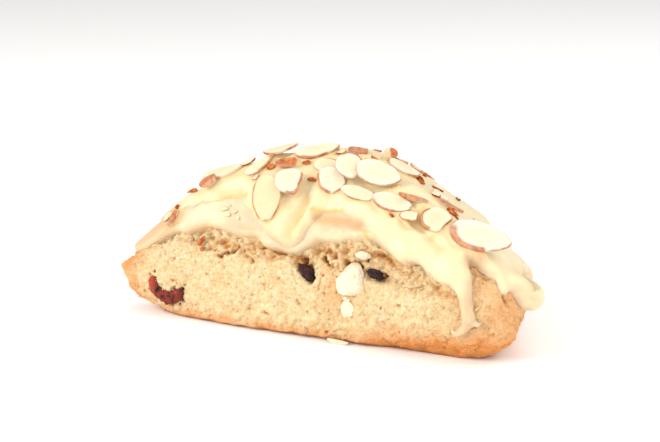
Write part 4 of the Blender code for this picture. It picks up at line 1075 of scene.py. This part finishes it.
def joinBits(name, shapes, material, slot, creams):
    points, faces, skin, cream = [], [], [], []
    for (spots, polygons, share), tone in zip(shapes, creams):
        faces += [[index + len(skin) for index in face] for face in polygons]
        points.append(spots)
        skin += list(share)
        cream += [tone] * len(share)
    flat = np.zeros(len(skin))
    attributes = {"skin": skin, "cream": cream} if slot == "almond" else {
        "thick": flat + 1, "paintedShade": flat, "glazeTintAndShade": flat}
    return meshFrom(name, np.concatenate(points), faces, material, attributes)


def onTop(tree, x, y, heading, length, width, lean, rise, skin, seed):
    lift = 0.2 + 0.34 * width * sin(radians(lean)) + 0.34 * length * sin(radians(rise))
    direction = np.array([cos(radians(heading)), sin(radians(heading)), 0])
    down = Vector((0, 0, -1))
    # at the spot itself, and where a slice is in the way, further and further beside it
    tries = [(0, 0)] + [(step, way) for step in bits["stepsAside"] for way in range(270, 630, 45)]
    for step, way in tries:
        start = Vector((body["centre"][0] + x + step * cos(radians(way)),
                        body["centre"][1] + y + step * sin(radians(way)), 90))
        spot, up = (np.array(part) for part in tree.ray_cast(start, down)[:2])
        shape = bitShape(spot + up * lift, up, direction, length, width, lean, rise, skin, seed)
        if sliceTree.ray_cast(start, down)[0] is None and not treeOf([shape[:2]]).overlap(sliceTree):
            break                       # beside the slices, neither under nor through one
    return shape


def onSide(angle, height, turn, length, width, lift, skin, seed):
    spot, out, across, upward = sideSpot(angle, height)
    direction = across * cos(radians(turn)) + upward * sin(radians(turn))
    return bitShape(spot + out * lift, out, direction, length, width, 0, 0, skin, seed)


def buildBits():
    tree = treeOf([([vertex.co * 1000 for vertex in icingObject.data.vertices],
                    [list(face.vertices) for face in icingObject.data.polygons])])
    shapes = [onTop(tree, *row[:8], seed) for seed, row in enumerate(bits["top"])]
    shapes += [onSide(*row[:7], 60 + seed) for seed, row in enumerate(bits["side"])]
    creams = [row[-1] for row in bits["top"] + bits["side"]]
    joinBits("almondBits", shapes, materials["almond"], "almond", creams)
    flakes = [onTop(tree, *row, 0, 80 + seed) for seed, row in enumerate(bits["topFlakes"])]
    joinBits("icingFlakes", flakes, materials["icing"], "icing", [0] * len(flakes))
    shreds = [onSide(*row, 0, 90 + seed) for seed, row in enumerate(bits["shreds"])]
    joinBits("chipShreds", shreds, materials["white_chip"], "white_chip", [0] * len(shreds))


buildBits()
print("broken bits made")

insets = {                          # fruit and chips; wrinkles as noise size and height
    "voxel": 0.00018, "smoothing": 6, "fruit": ((1.6, 0.7), (0.8, 0.35)), "chip": ((2.6, 0.6), (1.0, 0.2)),
    "redTip": 3.2, "redPatch": 1.5,
    # flat sides of the large chip from the front: right and up part of the direction, distance out
    "facets": ((-0.707, 0.707, 2.7), (0.16, 0.99, 4.6), (0.956, 0.294, 4.3), (0.92, -0.39, 4.0),
        (-0.04, -1.0, 4.0), (-1.0, 0.0, 4.4)),
    "facetGrowth": 1.12, "facetPull": 0.92,
}


def facetted(spots):
    centre = spots.mean(0)
    away = (spots - centre) * insets["facetGrowth"]
    for right, up, limit in insets["facets"]:
        direction = np.array((0.9 * right, 0.435 * right, up))
        beyond = np.maximum(away @ direction - limit, 0)
        away -= insets["facetPull"] * beyond[:, None] * direction
    return centre + away


def buildInset(name, slot, wrinkle):  # fruit or chip: the CAD shape remeshed finely and roughened
    points, triangles = nodeShape(name)
    mesh = bpy.data.meshes.new(f"{name}_work")
    mesh.from_pydata((points * 0.001).tolist(), [], triangles.tolist())
    worker = added(f"{name}_work", mesh)
    remesh = worker.modifiers.new("remesh", "REMESH")
    remesh.mode = "VOXEL"
    remesh.voxel_size = insets["voxel"]
    smooth = worker.modifiers.new("smooth", "SMOOTH")
    smooth.factor, smooth.iterations = 0.5, insets["smoothing"]
    made = plainMesh(worker)
    spots, outward = (np.zeros(len(made.vertices) * 3) for _ in range(2))
    made.vertices.foreach_get("co", spots)
    made.vertices.foreach_get("normal", outward)
    spots, outward = spots.reshape(-1, 3) * 1000, outward.reshape(-1, 3)
    rough = sum(size * (np.abs(softNoise(spots, scale, 70 + index)) - 0.3)
                for index, (scale, size) in enumerate(wrinkle))
    spots = (facetted(spots) if name == "white_chip_large" else spots) + outward * rough[:, None]
    faces = [list(face.vertices) for face in made.polygons]
    red = np.zeros(len(spots))
    if name == "cranberry_front":
        red = smoothStep(spots[:, 0].min() + insets["redTip"] - spots[:, 0], -0.8, 0.8)
        red = np.maximum(red, np.clip(0.36 + 0.5 * softNoise(spots, insets["redPatch"], 90), 0, 1))
    obj = meshFrom(name.replace("_", ""), spots, faces, materials[slot], {"red": red})
    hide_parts(name)


for name in fruitNodes:
    buildInset(name, "berry", insets["fruit"])
for name in chipNodes:
    buildInset(name, "white_chip", insets["chip"])
print("fruit and chips made")

studio = {                          # in metres
    "azimuth": 25.8, "elevation": 15.0, "distance": 0.440, "aim": (-0.00786, -0.0052, 0.0267),
    "lens": 80, "sensor": 36, "nearest": 0.01,
    "floor": {"roughness": 0.6, "specular": 0.3, "subsurface": 0.0, "radius": (1, 0.6, 0.4)},
    "floorColour": (0.98, 0.98, 0.98, 1), "floorReach": 3,
    "skyColour": (1.0, 0.985, 0.96, 1), "skyStrength": 0.62, "lightTarget": (0, 0, 0.02),
    # square lights: place, side, power, colour
    "lights": {"keyLight": ((-0.6, -0.7, 0.5), 0.6, 8.5, (1.0, 0.98, 0.95)),
               "fillLight": ((0.7, -0.4, 0.4), 0.8, 3.4, (1.0, 0.98, 0.95)),
               "topLight": ((0.4, 0.25, 0.8), 0.8, 4.0, (1, 1, 1))},
}


def buildStudio():
    scene = bpy.context.scene
    camera = added("camera", bpy.data.cameras.new("camera"))
    camera.data.lens = studio["lens"]
    camera.data.sensor_width = studio["sensor"]
    camera.data.clip_start = studio["nearest"]
    turn, rise = radians(studio["azimuth"]), radians(studio["elevation"])
    back = Vector((sin(turn) * cos(rise), -cos(turn) * cos(rise), sin(rise)))
    camera.location = Vector(studio["aim"]) + back * studio["distance"]
    camera.rotation_euler = (-back).to_track_quat("-Z", "Y").to_euler()
    scene.camera = camera
    floorMesh = bpy.data.meshes.new("floor")
    corners = ((-1, -1), (1, -1), (1, 1), (-1, 1))
    floorMesh.from_pydata([(x * studio["floorReach"], y * studio["floorReach"], 0) for x, y in corners],
                          [], [(0, 1, 2, 3)])
    floor = added("floor", floorMesh)
    finish = Finish("paleFloor", studio["floor"])
    finish.shader.inputs["Base Color"].default_value = studio["floorColour"]
    floorMesh.materials.append(finish.material)
    world = bpy.data.worlds.new("paleRoom")
    world.use_nodes = True
    sky = world.node_tree.nodes["Background"].inputs
    sky["Color"].default_value = studio["skyColour"]
    sky["Strength"].default_value = studio["skyStrength"]
    scene.world = world
    for name, (place, side, power, colour) in studio["lights"].items():
        lamp = added(name, bpy.data.lights.new(name, "AREA"))
        lamp.data.size, lamp.data.energy, lamp.data.color = side, power, colour
        lamp.location = place
        aim = Vector(studio["lightTarget"]) - Vector(place)
        lamp.rotation_euler = aim.to_track_quat("-Z", "Y").to_euler()
    scene.view_settings.view_transform = "Standard"


buildStudio()
print("studio made")
